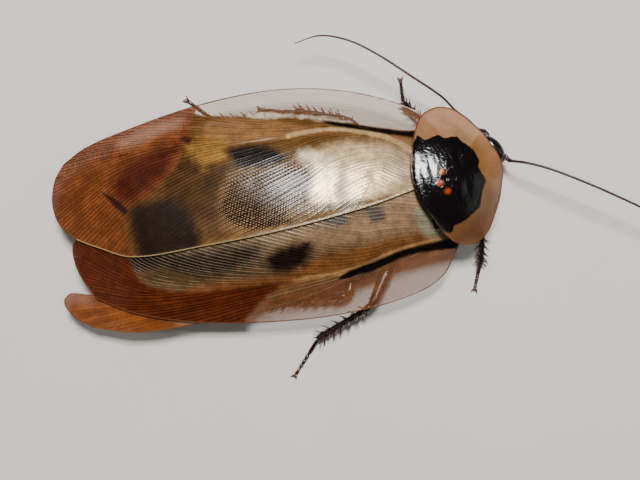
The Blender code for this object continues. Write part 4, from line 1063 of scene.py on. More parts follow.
RIGHT_MARKINGS = (
    Marking("pearl", (
        (-8, -2.2), (-19, -2.9), (-30, -2.4), (-40, -1.6), (-47, 2), (-46, -6.4), (-38, -8.4), (-30, -7.4),
        (-24, -5.6), (-16, -5.2),
    ), "#6a563e", "#96825f", roughness=0.24, metal=0.15, net=0.3, soft=1.6, ragged=1.2),
    Marking("front", (
        (6, 3), (4.6, -8.6), (-2, -8.8), (-9, -8.2), (-18, -7.4), (-24, -6.4), (-20, -4.0), (-10, -3.0),
        (-4, 0),
    ), "#8a6c50", "#785c3e", roughness=0.25, metal=0.1, net=0.2, soft=1.6, ragged=1.0),
    Marking("orange", (
        (5.0, -8.4), (-4, -8.4), (-12, -9.0), (-20, -9.4), (-27, -11.2), (-38, -10.6), (-46, -10.8),
        (-46, -13.6), (-30, -14.2), (-18, -13.4), (-8, -12.0), (4, -10.6),
    ), "#6a4121", "#86562c", roughness=0.25, net=0.18, soft=1.2, ragged=0.6),
    Marking("pleats", (
        (-56.4, -1.0), (-56.8, -4.6), (-52.9, -6.8), (-45.4, -8.8), (-38.0, -9.4), (-32.5, -8.2),
        (-30.6, -5.6), (-35, -4.2), (-44, -3.6),
    ), "#1a120c", "#5e523e", roughness=0.22, metal=0.1, net=0.26, soft=1.9, ragged=1.3),
    Marking("plates", (
        (-54.9, -5.9), (-53.3, -8.0), (-50.8, -6.2), (-47.6, -9.6), (-44.6, -8.9), (-42.0, -11.2),
        (-40.8, -10.2), (-46, -8.0), (-50.6, -5.4),
    ), "#4c3419", "#2a1c0d", roughness=0.26, net=0.2, soft=0.6, ragged=0.6, strength=0.75),
    Marking("grey_fore", (
        (-10.2, -1.6), (-7.2, -1.7), (-6.6, -4.8), (-9.8, -5.0),
    ), "#2e2a24", "#5c5448", net=0.26, soft=0.7, ragged=1.2, strength=0.9),
    Marking("grey_hind", (
        (-19.2, -3.0), (-16.0, -2.2), (-13.4, -3.4), (-16.2, -4.6),
    ), "#2e2a24", "#5c5448", net=0.26, soft=0.7, ragged=1.2, strength=0.9),
    # Partly the grey-green membrane behind the shield's hind margin, partly painted light that keeps it bright
    # in the shadow the shield casts there.
    Marking("green", (
        (2.8, -3.5), (-0.9, -4.2), (-0.2, -7.6), (1.8, -10), (5.4, -9.6),
    ), "#76735c", "#8a866c", soft=0.8, ragged=0.5, strength=0.85),
    Marking("spot", SPOT_RIGHT, "#140806", "#2c1c14", roughness=0.22, net=0.13, soft=1.3, ragged=1.2),
    Marking("costal", (
        (9, -12.6), (2, -12.6), (-5, -12.9), (-11, -14.2), (-18, -14.6), (-26, -14.9), (-32, -15.6),
        (-38, -17.4), (-42, -20), (-20, -26), (9, -20),
    ), "#8a5430", "#5c3418", alpha=0.27, roughness=0.24, net=0.07, soft=0.4, ragged=0.25),
    Marking("apex", (
        (-56, 10), (-56.4, -2), (-55.6, -5.6), (-53.0, -8.8), (-46, -11.0), (-36, -12.2), (-29, -12.9),
        (-34, -16.2), (-42, -22), (-76, -22), (-76, 10),
    ), "#5a260e", "#2a0c04", alpha=0.82, roughness=0.24, net=0.26, soft=0.7, ragged=0.4),
    Marking("arc", (
        (4.6, -9.7), (-1.0, -10.1), (-6.0, -10.6), (-12, -12.0), (-18, -12.6), (-26, -12.5), (-26, -13.1),
        (-18, -13.3), (-11.8, -12.7), (-5.9, -11.3), (-0.9, -10.7), (4.6, -10.2),
    ), "#b48a58", "#b48a58", roughness=0.24, net=0.05, soft=0.3, ragged=0.3, strength=0.45),
    Marking("streak", STREAK_RIGHT, "#0a0504", "#120805", roughness=0.16, net=0.06, soft=0.3, ragged=0.25),
)
HIND_MARKINGS = (
    Marking("clear", (
        (10, 4), (10, -20), (-42, -30), (-50, 0), (-42, 30), (10, 24),
    ), "#cf9468", "#a87a4c", alpha=0.05, net=0.05, soft=3.0, ragged=0.5),
)
LEFT_STEM = (
    (3.0, 6.6), (1.2, 7.5), (-1.6, 10.5), (-6, 12.9), (-10.7, 14.4), (-15.5, 15.2), (-22, 15.1), (-30, 15.7),
    (-36, 16.6), (-42, 17.4), (-50, 17.9), (-58, 17.5), (-66, 16.5),
)
RIGHT_STEM = (
    (5, -10.2), (-1, -10.6), (-6, -11.2), (-11, -12.4), (-18, -13.0), (-26, -12.8), (-36, -12.2), (-46, -11.3),
    (-56, -9.2), (-65, -5.0),
)
HIND_LEANS = {"inward": Profile(((0, 2), (4, 6), (14, 14))), "outward": Profile(((0, 2), (5, 8)))}


def make_wings() -> None:
    """Build the four folded wings, the left tegmen on top."""
    stack = WingStack()
    left = Membrane(
        "wing_membrane_left", LEFT_MARKINGS, "#64441f", "#36210e", "#6b3a1c", "#a08454", alpha=1.0
    )
    right = Membrane(
        "wing_membrane_right", RIGHT_MARKINGS, "#503b28", "#7c6646", "#6b3a1c", "#7a5a30", alpha=1.0
    )
    hind = Membrane(
        "wing_membrane_hind", HIND_MARKINGS, "#8a4a1c", "#5a2a10", "#7a4a22", "#7a4a22", alpha=0.7, net=0.1
    )
    FoldedWing(
        "tegmen_left",
        base=((2.5, 0.3), (2.6, 6.0), (3.3, 10.3), (5.6, 14.0)),
        costal=(
            (5.6, 14.0), (4.4, 15.8), (-0.4, 19.0), (-8.0, 22.4), (-17.6, 24.9), (-28.0, 25.8),
            (-41.0, 25.1), (-53.5, 22.9), (-62.0, 21.0), (-66.6, 18.8),
        ),
        apex=((-66.3, 3.2), (-69.2, 6.9), (-70.0, 11.2), (-68.9, 15.7), (-66.6, 18.8)),
        inner=(
            (2.5, 0.3), (-9.0, -1.8), (-25.0, -3.2), (-42.0, -3.3), (-55.5, -2.6), (-62.5, 0.9), (-66.3, 3.2)
        ),
        depth=stack.left_tegmen,
        veins=VeinField(LEFT_STEM, Side.LEFT),
        markings=LEFT_MARKINGS,
        fold_bead=0.2,
    ).build(left.material(), "tegmen")
    FoldedWing(
        "tegmen_right",
        base=((2.5, -0.1), (2.5, -7.4), (3.1, -8.85), (5.0, -8.9), (7.0, -9.9), (7.4, -11.4)),
        costal=(
            (7.4, -11.4), (5.6, -13.9), (3.3, -16.9), (-1.6, -19.3), (-12.5, -20.8),
            (-26.4, -20.4), (-44.8, -17.4), (-57.0, -13.3), (-64.4, -8.8),
        ),
        apex=((-64.8, 4.6), (-67.3, 2.2), (-67.1, -2.9), (-64.4, -8.8)),
        inner=((2.5, -0.1), (-9.0, 2.2), (-25.0, 5.2), (-42.0, 6.4), (-56.0, 6.2), (-64.8, 4.6)),
        depth=stack.right_tegmen,
        veins=VeinField(RIGHT_STEM, Side.RIGHT),
        markings=RIGHT_MARKINGS,
        fold_bead=0.12,
    ).build(right.material(), "tegmen")
    hind_material = hind.material()
    FoldedWing(
        "hindwing_left",
        base=((2.5, 1.1), (2.5, 4.0), (2.5, 7.6)),
        costal=((2.5, 7.6), (-8.0, 13.2), (-28.0, 19.5), (-45.0, 20.0), (-63.0, 14.4)),
        apex=((-63.5, 3.4), (-66.6, 7.2), (-66.2, 11.2), (-63.0, 14.4)),
        inner=((2.5, 1.1), (-14.0, 0.8), (-34.0, 0.6), (-52.0, 1.0), (-63.5, 3.4)),
        depth=stack.hindwing,
        veins=VeinField(((2.5, 6.0), (-20, 9.0), (-45, 11.0), (-66, 10.0)), Side.LEFT, **HIND_LEANS),
        markings=HIND_MARKINGS,
        rows=140,
        columns=110,
    ).build(hind_material, "hindwing")
    FoldedWing(
        "hindwing_right",
        base=((2.5, -1.2), (2.5, -4.0), (2.5, -7.6)),
        costal=((2.5, -7.6), (-8.0, -12.4), (-26.0, -16.6), (-46.0, -17.3), (-57.9, -16.8), (-66.2, -14.2)),
        apex=((-71.0, -7.6), (-71.0, -9.1), (-69.3, -11.8), (-66.2, -14.2)),
        inner=(
            (2.5, -1.2), (-14.0, -0.6), (-34.0, 0.0), (-52.0, -3.0), (-63.5, -8.0), (-69.4, -6.7),
            (-71.0, -7.6),
        ),
        depth=stack.hindwing,
        veins=VeinField(((2.5, -5.5), (-20, -9.0), (-45, -12.0), (-71, -11.0)), Side.RIGHT, **HIND_LEANS),
        markings=HIND_MARKINGS,
        rows=180,
        columns=120,
    ).build(hind_material, "hindwing")


PATCH = (
    (3.0, 8.9), (4.3, 7.8), (5.2, 7.7), (7.3, 7.9), (8.2, 7.2), (10.3, 7.0), (11.2, 5.9), (12.1, 4.8),
    (12.9, 3.8), (13.3, 2.4), (13.5, 1.4), (13.1, 0.4), (13.2, -0.9), (13.8, -2.2), (13.5, -3.4), (12.6, -4.8),
    (11.8, -6.6), (11.1, -7.6), (9.4, -8.6), (8.0, -9.3), (6.3, -9.7), (5.6, -10.0), (5.0, -10.7), (4.0, -10.7),
    (3.0, -9.9), (1.7, -6.8), (0.3, -4.1), (0.0, -1.4), (0.1, 1.0), (1.1, 4.9), (1.9, 7.2),
)


@dataclass(frozen=True)
class Pronotum:
    """The broad shield over head and thorax: a black middle and a clear horny brim."""

    turn: float = math.radians(3.0)
    shift: float = 1.0
    middle: float = 8.0
    reach: Profile = Profile(
        (
            (0, 10.05), (12, 9.95), (25, 9.85), (38, 10.2), (54, 11.05), (63, 11.95), (72, 13.05),
            (79, 13.65), (87, 13.95), (95, 13.65), (102, 13.2), (109, 12.2), (120, 10.7), (132, 9.4),
            (149, 8.6), (171, 8.05), (180, 8.0),
        )
    )
    half_width: float = 13.95
    front: float = 18.05
    hind: float = 0.0
    crown: float = 12.5
    crown_x: float = 4.0
    side_drop: float = 3.9
    front_drop: float = 3.6
    hind_drop: float = 0.5
    brim_start: float = 0.72
    brim_lift: float = 0.4
    rim_width: float = 0.28
    spots: tuple[tuple[float, float, float], ...] = (
        (5.76, 0.72, 0.62), (4.77, -1.30, 0.6), (5.89, -3.15, 0.55)
    )
    spokes: int = 256
    rings: int = 80

    def edge(self, angle: np.ndarray) -> tuple[np.ndarray, np.ndarray]:
        """Give the rim's points in the shield's own axes, from its front round by the left."""
        reach = self.reach(180 - np.abs(180 - np.degrees(angle)))
        return self.middle + reach * np.cos(angle), reach * np.sin(angle)

    def height(self, x: np.ndarray, y: np.ndarray) -> np.ndarray:
        """Give the height of the upper face before its brim."""
        crown = self.crown - self.side_drop * (y / self.half_width) ** 2
        ahead = self.front_drop * ((x - self.crown_x) / (self.front - self.crown_x)) ** 2
        behind = self.hind_drop * ((self.crown_x - x) / (self.crown_x - self.hind)) ** 2
        return crown - np.where(x > self.crown_x, ahead, behind)

    def build(self, finish: bpy.types.Material) -> bpy.types.Object:
        """Make the shield with wrinkles in its black patch and a rolled rim."""
        angle = 2 * np.pi * (np.arange(self.spokes) + 0.5) / self.spokes
        reach = np.linspace(0.0, 1.0, self.rings + 1)[1:, None] ** 0.85
        edge_x, edge_y = self.edge(angle)
        x = mix(self.middle, edge_x[None, :], reach)
        y = edge_y[None, :] * reach
        patch = distance_to(x, y, closed_curve(PATCH, 6), closed=True)
        rim = np.hypot(x - edge_x, y - edge_y)
        brim = np.maximum(0.0, (reach - self.brim_start) / (1 - self.brim_start))
        z = self.height(x, y) + self.brim_lift * brim**2
        place = np.stack([x, y, z], -1)
        inside = ease(-patch / 0.8 + 0.2)
        wrinkles = 0.02 * ripple(place * (1.6, 0.8, 1.0), 1.2, 5.0) + 0.006 * ripple(place, 0.45, 2.0)
        dimples = sum(
            depth * np.exp(-(((x - px) / sx) ** 2) - ((y - py) / sy) ** 2)
            for px, py, sx, sy, depth in (
                (9.6, 2.4, 0.8, 1.5, -0.12), (9.8, -3.6, 0.8, 1.4, -0.12), (7.2, -0.8, 2.2, 0.5, -0.08),
                (2.3, -0.6, 0.7, 4.6, 0.1), (3.9, 1.6, 0.45, 2.4, -0.07), (11.6, -0.6, 0.8, 1.6, 0.07),
            )
        )
        z = z + inside * (-0.04 + wrinkles + dimples) + 0.03 * ripple(place, 2.8, 9.0) * (1 - inside)
        z = z + 0.06 * np.exp(-((rim / self.rim_width) ** 2))
        thickness = mix(1.0, 0.3, ease(reach)) * np.ones_like(x)
        cos, sin = math.cos(self.turn), math.sin(self.turn)
        set_y = y + self.shift
        upper = np.stack([x * cos - set_y * sin, x * sin + set_y * cos, z], -1)
        lower = upper - UP * thickness[..., None]
        spots = np.min([np.hypot(x - sx, y - sy) - size for sx, sy, size in self.spots], axis=0)
        glow = np.exp(-(((patch - 0.2) / 1.9) ** 2)) * ease((x - 8.5) / 3.0) * ease((y + 4.0) / 4.0)
        glow = np.maximum(glow, 0.35 * np.exp(-(((patch - 0.2) / 1.4) ** 2)))
        # Painted shade: the brim grows darker towards its right side, which faces away from the key light.
        dusk = 0.9 * ease((6.0 - y) / 14.0)
        skin = Skin("patch", "spots", "rim", "glow", "dusk")
        shell = np.concatenate([upper, lower[::-1]])
        values = {"patch": patch, "spots": spots, "rim": rim - self.rim_width, "glow": glow, "dusk": dusk}
        both = {name: np.concatenate([value, value[::-1]]) for name, value in values.items()}
        skin.add_tube(shell, **both)
        return skin.build("pronotum", finish, "shield")


@dataclass(frozen=True)
class Trunk:
    """Thorax, neck, abdomen and cerci: overlapping plates over a flat belly."""

    stack: WingStack = WingStack()
    belly: float = 3.6
    powers: tuple[float, float] = (0.8, 0.7)
    waist: float = 0.45
    thorax_back: float = -14.4
    thorax_front: float = THORAX_FRONT
    thorax_width: Profile = Profile(((13, 3.2), (11, 5.2), (7, 7.4), (3, 8.4), (-5, 9.7), (-15, 9.9)))
    thorax_height: Profile = Profile(((13, 8.2), (10, 10.2), (6, 10.9), (3, 10.8), (-15, 10.4)))
    thorax_midline: Profile = Profile(((13, 1.3), (3, 0.0), (-15, 0.0)))
    abdomen_width: Profile = Profile((
        (-14, 9.9), (-26, 11.0), (-38, 11.0), (-48, 9.6), (-54, 8.4), (-58.2, 6.3)
    ))
    abdomen_belly: Profile = Profile(((-14, 3.6), (-30, 3.2), (-58, 3.0)))
    abdomen_back: float = -58.2
    segments: int = 8
    lip: float = 0.4

    def ceiling(self, x: np.ndarray, y: np.ndarray) -> np.ndarray:
        """Give the height that the trunk stays under, below the wings."""
        return self.stack.dome(x, y) - 3 * self.stack.layer - 1.1

    def section(
        self, x: np.ndarray, half_width: np.ndarray, top: np.ndarray, bottom: np.ndarray, sides: int
    ) -> np.ndarray:
        """Give upright sections of the trunk.

        Args:
            x: Where each section stands.
            half_width: Its half width.
            top: Its highest point.
            bottom: Its lowest point.
            sides: Points in a section.

        Returns:
            Points by section, side and axis.
        """
        angle = 2 * np.pi * (np.arange(sides) + 0.5) / sides
        across = np.sign(np.cos(angle)) * np.abs(np.cos(angle)) ** self.powers[0]
        upward = np.sign(np.sin(angle)) * np.abs(np.sin(angle)) ** self.powers[1]
        x, half_width, top, bottom = (np.asarray(v, float)[:, None] for v in (x, half_width, top, bottom))
        y = self.thorax_midline(x) + half_width * across[None, :]
        middle = mix(bottom, top, self.waist)
        z = middle + upward[None, :] * np.where(upward > 0, top - middle, middle - bottom)
        return np.stack([x + 0 * y, y, z], -1)

    def build(self, finish: bpy.types.Material, soft: bpy.types.Material) -> None:
        """Make the thorax, the neck, the abdomen and the cerci."""
        self.build_thorax(finish)
        self.build_abdomen(finish)
        self.build_neck(soft)
        for side in Side:
            self.build_cercus(side, finish)

    def build_thorax(self, finish: bpy.types.Material) -> None:
        """Make the thorax with a groove between its three rings."""
        x = np.linspace(self.thorax_back, self.thorax_front, 120)
        groove = sum(np.exp(-(((x - at) / 0.35) ** 2)) for at in (3.4, -5.6, self.thorax_back + 0.2))
        wide = self.thorax_width(x) - 0.35 * groove
        top = self.thorax_height(x) - 0.4 * groove
        bottom = mix(self.belly, 4.4, ease((x - 10.5) / 2.0)) + 0.3 * groove
        rings = self.section(x, wide, top, bottom, 72)
        under_wings = (x < 4.0)[:, None]
        limit = np.where(under_wings, self.ceiling(rings[..., 0], rings[..., 1]), np.inf)
        rings[..., 2] = np.maximum(np.minimum(rings[..., 2], limit), bottom[:, None])
        keel = np.exp(-((rings[..., 1] / 0.5) ** 2)) * (rings[..., 2] < self.belly + 1.0)
        rings[..., 2] += 0.25 * keel
        rings[..., 2] += 0.06 * ripple(rings, 1.6, 4.0)
        pale = 0.5 * np.exp(-((np.abs(rings[..., 1]) - 3.0) ** 2) / 1.2) * (rings[..., 2] < self.belly + 0.6)
        skin = Skin("thin", "pale")
        skin.add_tube(rings, thin=0.25 * groove, pale=pale)
        skin.build("thorax", finish, "trunk")

    def build_abdomen(self, finish: bpy.types.Material) -> None:
        """Make the abdomen's plates, each tucked under the one before it."""
        steps = 14
        front = self.thorax_back - 0.05
        band = (front - self.abdomen_back) / self.segments
        local = np.tile(np.linspace(0.0, 0.985, steps), self.segments)
        number = np.repeat(np.arange(self.segments), steps)
        x = front - band * (number + local)
        lip = self.lip * (1 - ease(local / 0.9))
        wide = self.abdomen_width(x) - lip + 0.25 * ease((local - 0.55) / 0.4)
        top = self.ceiling(x, 0 * x) - lip
        bottom = self.abdomen_belly(x) + 0.7 * lip
        tail = np.array([-0.35, -0.8, -1.1])
        x = np.concatenate([x, self.abdomen_back + tail])
        wide = np.concatenate([wide, self.abdomen_width(self.abdomen_back) * np.array([0.93, 0.75, 0.4])])
        top = np.concatenate([top, top[-1] - np.array([0.1, 0.4, 0.9])])
        bottom = np.concatenate([bottom, bottom[-1] + np.array([0.05, 0.2, 0.6])])
        lip = np.concatenate([lip, np.zeros(3)])
        rings = self.section(x, wide, top, bottom, 72)
        rings[..., 2] = np.minimum(rings[..., 2], self.ceiling(rings[..., 0], rings[..., 1]) - lip[:, None])
        rings[..., 2] += 0.04 * ripple(rings, 1.2, 6.0)
        share = np.abs(rings[..., 1]) / np.maximum(wide[:, None], 1.0)
        where = np.concatenate([local, np.ones(3)])[:, None]
        pale = ease((share - 0.8) / 0.08) * ease((0.95 - share) / 0.08) * ease((where - 0.15) / 0.2)
        pale = pale * ease((0.8 - where) / 0.15) * 0.7
        thin = 0.5 * ease((where - 0.85) / 0.1) * np.ones_like(share)
        skin = Skin("thin", "pale")
        skin.add_tube(rings, thin=thin, pale=pale)
        skin.build("abdomen", finish, "trunk")

    def build_neck(self, finish: bpy.types.Material) -> None:
        """Make the wrinkled soft neck from the thorax into the back of the head."""
        start = np.array((self.thorax_front - 0.6, float(self.thorax_midline(self.thorax_front)) + 0.2, 6.2))
        end = Head().place(np.array((0.0, -1.0, -1.2)))
        track = Track([start, start + (1.6, 0.2, 0.0), end])
        share = np.linspace(0, 1, 40)
        fold = 0.12 * np.sin(share * 2 * np.pi * 6)
        skin = Skin("thin", "pale")
        skin.add_tube(track.rings(share, 1.75 + fold, 1.5 + fold, 28), thin=0.6, pale=0.4)
        skin.build("neck", finish, "trunk")

    def build_cercus(self, side: Side, finish: bpy.types.Material) -> None:
        """Make one short tapered feeler of rings at the tail."""
        x = self.abdomen_back + 2.2
        root = np.array((x, side.value * (float(self.abdomen_width(x)) - 0.15), 4.5))
        heading = unit(np.array((-0.72, 0.69 * side.value, -0.06)))
        track = Track([root - heading * 0.9, root + heading * 4.45], smooth=False)
        joints = 11
        share = np.linspace(0, 1, joints * 4 + 1)
        swell = 1 - 0.2 * np.abs(np.cos(np.pi * share * joints)) ** 6
        radius = 0.55 * swell * mix(1.0, 0.3, share**1.4)
        skin = Skin("thin", "pale")
        skin.add_tube(track.rings(share, radius, radius * 0.85, 16), thin=0.4 + 0.5 * share, pale=0.0)
        skin.build("cercus_" + side.word, finish, "trunk")


@dataclass(frozen=True)
class Head:
    """A flat pear that hangs under the pronotum, its face down and forward."""

    centre: tuple[float, float, float] = (16.25, 4.95, 4.65)
    turn: float = math.radians(32.0)
    tilt: float = math.radians(30.0)
    top: float = -4.05
    mouth: float = 2.75
    labrum_end: float = 4.05
    half_width: Profile = Profile((
        (-4.05, 1.5), (-3.5, 2.5), (-2.0, 3.4), (0.0, 3.5), (1.6, 2.9), (2.75, 2.1), (4.05, 1.3)
    ))
    half_depth: Profile = Profile((
        (-4.05, 0.8), (-3.5, 1.4), (-2.0, 2.0), (0.0, 2.1), (1.6, 1.8), (2.75, 1.3), (4.05, 0.6)
    ))
    back: float = 1.7
    eye_place: tuple[float, float, float] = (2.75, -1.5, 0.5)
    eye_radii: tuple[float, float, float] = (0.95, 1.7, 1.3)
    socket: tuple[float, float, float] = (1.5, -0.1, 1.85)
    palp_points: tuple = (
        (2.3, 2.0, 0.1), (3.2, 2.5, 0.9), (3.6, 3.3, 0.9), (3.3, 4.1, 0.1), (2.6, 4.4, -0.7)
    )
    lip_palp_points: tuple = ((1.0, 3.0, -0.9), (1.5, 3.7, -0.8), (1.7, 4.3, -1.3), (1.3, 4.7, -1.8))

    def axes(self) -> np.ndarray:
        """Give the head's own axes in rows: to its left, from crown to mouth, and out of its face."""
        left = np.array((-math.sin(self.turn), math.cos(self.turn), 0.0))
        ahead = np.array((math.cos(self.turn), math.sin(self.turn), 0.0))
        down = -ahead * math.sin(self.tilt) - UP * math.cos(self.tilt)
        face = ahead * math.cos(self.tilt) - UP * math.sin(self.tilt)
        return np.array((left, down, face))

    def place(self, spots: np.ndarray) -> np.ndarray:
        """Turn points of the head's own axes into the body's."""
        return np.array(self.centre) + spots @ self.axes()

    def mirrored(self, spot: Sequence[float], side: Side) -> np.ndarray:
        """Give a point of the head's own axes for one side."""
        return np.array(spot) * (side.value, 1, 1)

    def shell(self, stations: np.ndarray, sides: int) -> np.ndarray:
        """Give sections of the head in its own axes, with brow, sockets and face plate."""
        wide, deep = self.half_width(stations)[:, None], self.half_depth(stations)[:, None]
        angle = (2 * np.pi * (np.arange(sides) + 0.5) / sides)[None, :]
        x, z = wide * np.cos(angle), deep * np.sin(angle)
        y = stations[:, None] + 0 * x
        face = ease(np.sin(angle) / 0.4)
        out = 0.14 * np.exp(-(((y + 2.7) / 0.5) ** 2)) * face
        out = out - 0.18 * np.exp(-((x / 0.9) ** 2) - ((y + 0.4) / 1.0) ** 2) * face
        out = out - 0.14 * np.exp(-(((y - 1.35) / 0.14) ** 2)) * face * (np.abs(x) < 2.2)
        out = out - 0.1 * np.exp(-(((np.abs(x) - 2.0 + 0.2 * (y - 1.35)) / 0.14) ** 2)) * face * (y > 1.3)
        for sign in (1, -1):
            away = np.hypot(x - sign * self.socket[0], y - self.socket[1])
            out = out + 0.28 * np.exp(-(((away - 0.82) / 0.2) ** 2)) * face
            out = out - 0.3 * np.exp(-((away / 0.55) ** 2)) * face
        x = x + out * np.cos(angle)
        z = np.maximum(z + out * np.sin(angle), -self.back)
        return np.stack([x, y, z], -1)

    def build(self, chitin: bpy.types.Material, mouth: bpy.types.Material, eyes: bpy.types.Material) -> None:
        """Make the head, its upper lip, eyes and palps."""
        skin = Skin("thin", "pale")
        stations = np.concatenate([[self.top - 0.12], np.linspace(self.top, self.mouth + 0.2, 84)])
        shell = self.shell(stations, 96)
        shell[0] = mix(shell[1].mean(0), shell[0], 0.6)
        x, y, z = shell[..., 0], shell[..., 1], shell[..., 2]
        ocelli = sum(np.exp(-((np.hypot(x - sign * 1.15, y + 1.25) / 0.3) ** 4)) for sign in (1, -1))
        ocelli = ocelli * (z > 0)
        thin = 0.5 * ease((y - 1.6) / 1.2)
        shell = self.place(shell)
        shell = shell + (self.axes()[2] * 0.02) * ripple(shell, 0.35, 7.0)[..., None]
        skin.add_tube(shell, thin=thin, pale=0.95 * ocelli)
        for side in Side:
            self.add_jaw(skin, side)
        skin.build("head", chitin, "head")
        self.build_lip(mouth)
        for side in Side:
            self.build_eye(side, eyes)
            self.build_palp(side, chitin)

    def add_jaw(self, skin: Skin, side: Side) -> None:
        """Add one jaw, which shows beside the upper lip."""
        points = ((1.9, 2.2, 0.5), (1.75, 3.2, 0.6), (1.1, 3.9, 0.5), (0.3, 4.2, 0.4))
        track = Track([self.place(self.mirrored(point, side)) for point in points])
        share = np.linspace(0, 1, 18)
        radius = Profile(((0, 0.62), (0.5, 0.55), (1, 0.12)))(share)
        skin.add_tube(track.rings(share, radius, radius * 0.8, 14), thin=0.3 + 0.5 * share, pale=0.0)

    def build_lip(self, finish: bpy.types.Material) -> None:
        """Make the upper lip, notched in the middle, with the lower lip behind it."""
        stations = np.linspace(self.mouth + 0.1, self.labrum_end, 22)
        share = (stations - stations[0]) / (stations[-1] - stations[0])
        sides = 48
        angle = (2 * np.pi * (np.arange(sides) + 0.5) / sides)[None, :]
        wide = (self.half_width(stations) * (1 - 0.25 * share**4))[:, None]
        x = wide * np.cos(angle)
        z = 0.55 + (0.42 - 0.2 * share[:, None]) * np.sin(angle)
        notch = 0.35 * np.exp(-((x / 0.4) ** 2)) * share[:, None] ** 4
        y = stations[:, None] - notch + 0 * x
        skin = Skin("thin", "pale")
        skin.add_tube(self.place(np.stack([x, y, z], -1)), thin=0.35 + 0.5 * share, pale=0.0)
        wide = (self.half_width(stations) * (0.85 - 0.3 * share**3))[:, None]
        x = wide * np.cos(angle)
        z = -0.75 + (0.4 - 0.2 * share[:, None]) * np.sin(angle)
        y = stations[:, None] - 0.1 + 0 * x
        skin.add_tube(self.place(np.stack([x, y, z], -1)), thin=0.5 + 0.4 * share, pale=0.1)
        skin.build("labrum", finish, "head")

    def build_eye(self, side: Side, finish: bpy.types.Material) -> None:
        """Make one eye, a kidney dented towards the antenna's socket."""
        skin = Skin("thin", "pale")
        rows, sides = 36, 48
        polar = np.pi * np.linspace(0.015, 0.985, rows)[:, None]
        angle = 2 * np.pi * np.arange(sides)[None, :] / sides
        x, y, z = np.sin(polar) * np.cos(angle), np.cos(polar) + 0 * angle, np.sin(polar) * np.sin(angle)
        dent = 1 - 0.16 * np.exp(-(((x + 0.55) / 0.5) ** 2) - ((y - 0.5) / 0.4) ** 2 - ((z - 0.6) / 0.6) ** 2)
        spots = np.stack([x, y, z], -1) * dent[..., None] * self.eye_radii
        spots = (spots + self.eye_place) * (side.value, 1, 1)
        skin.add_tube(self.place(spots))
        skin.build("eye_" + side.word, finish, "eye")

    def build_palp(self, side: Side, finish: bpy.types.Material) -> None:
        """Make one jointed feeler of the jaw and the shorter one of the lip."""
        skin = Skin("thin", "pale")
        for points, width, joints in ((self.palp_points, 0.4, 4), (self.lip_palp_points, 0.26, 3)):
            track = Track([self.place(self.mirrored(point, side)) for point in points])
            share = np.linspace(0, 1, joints * 12 + 1)
            pinch = 1 - 0.35 * np.abs(np.cos(np.pi * share * joints)) ** 12
            club = Profile(((0, 0.9), (0.3, 0.8), (0.75, 0.85), (0.93, 0.75), (1, 0.3)))(share)
            radius = width * pinch * club
            skin.add_tube(track.rings(share, radius, radius, 18), thin=0.3 + 0.5 * share, pale=0.15 * share)
        skin.build("palp_" + side.word, finish, "leg")


@dataclass(frozen=True)
class Antenna:
    """A stout scape, a bead-like pedicel and a whip of about eighty short rings."""

    side: Side
    path: tuple
    head: Head = Head()
    bow: float = 0.8
    rings_shown: int = 84

    def build(self, finish: bpy.types.Material) -> bpy.types.Object:
        """Make the antenna as one piece from its socket to its tip."""
        root = self.head.place(self.head.mirrored(self.head.socket, self.side))
        face = self.head.axes()[2]
        first = np.array(self.path[0])
        scape = Track([root - face * 0.7, root, (root + first) / 2 + face * self.bow, first])
        share = np.linspace(0, 1, 26)
        radius = Profile(((0, 0.3), (0.22, 0.46), (0.32, 0.34), (0.5, 0.47), (0.9, 0.44), (1, 0.25)))(share)
        skin = Skin("thin", "pale")
        skin.add_tube(scape.rings(share, radius, radius, 20), thin=0.1)
        whip = Track(self.path)
        share = np.linspace(0, 1, self.rings_shown * 4 + 1)
        local = (share * self.rings_shown) % 1.0
        swell = 0.86 + 0.2 * ease(local / 0.6) * ease((1.02 - local) / 0.16)
        base = Profile(((0, 0.4), (0.012, 0.42), (0.03, 0.28), (0.5, 0.235), (0.85, 0.18), (1, 0.09)))(share)
        skin.add_tube(whip.rings(share, base * swell, base * swell, 12), thin=0.15 + 0.5 * share, pale=0.0)
        name = "antenna_" + self.side.word
        nodes = [name + "_scape"] + [name + "_" + str(i) for i in (1, 2, 3)]
        return skin.build(name, finish, "antenna", nodes)


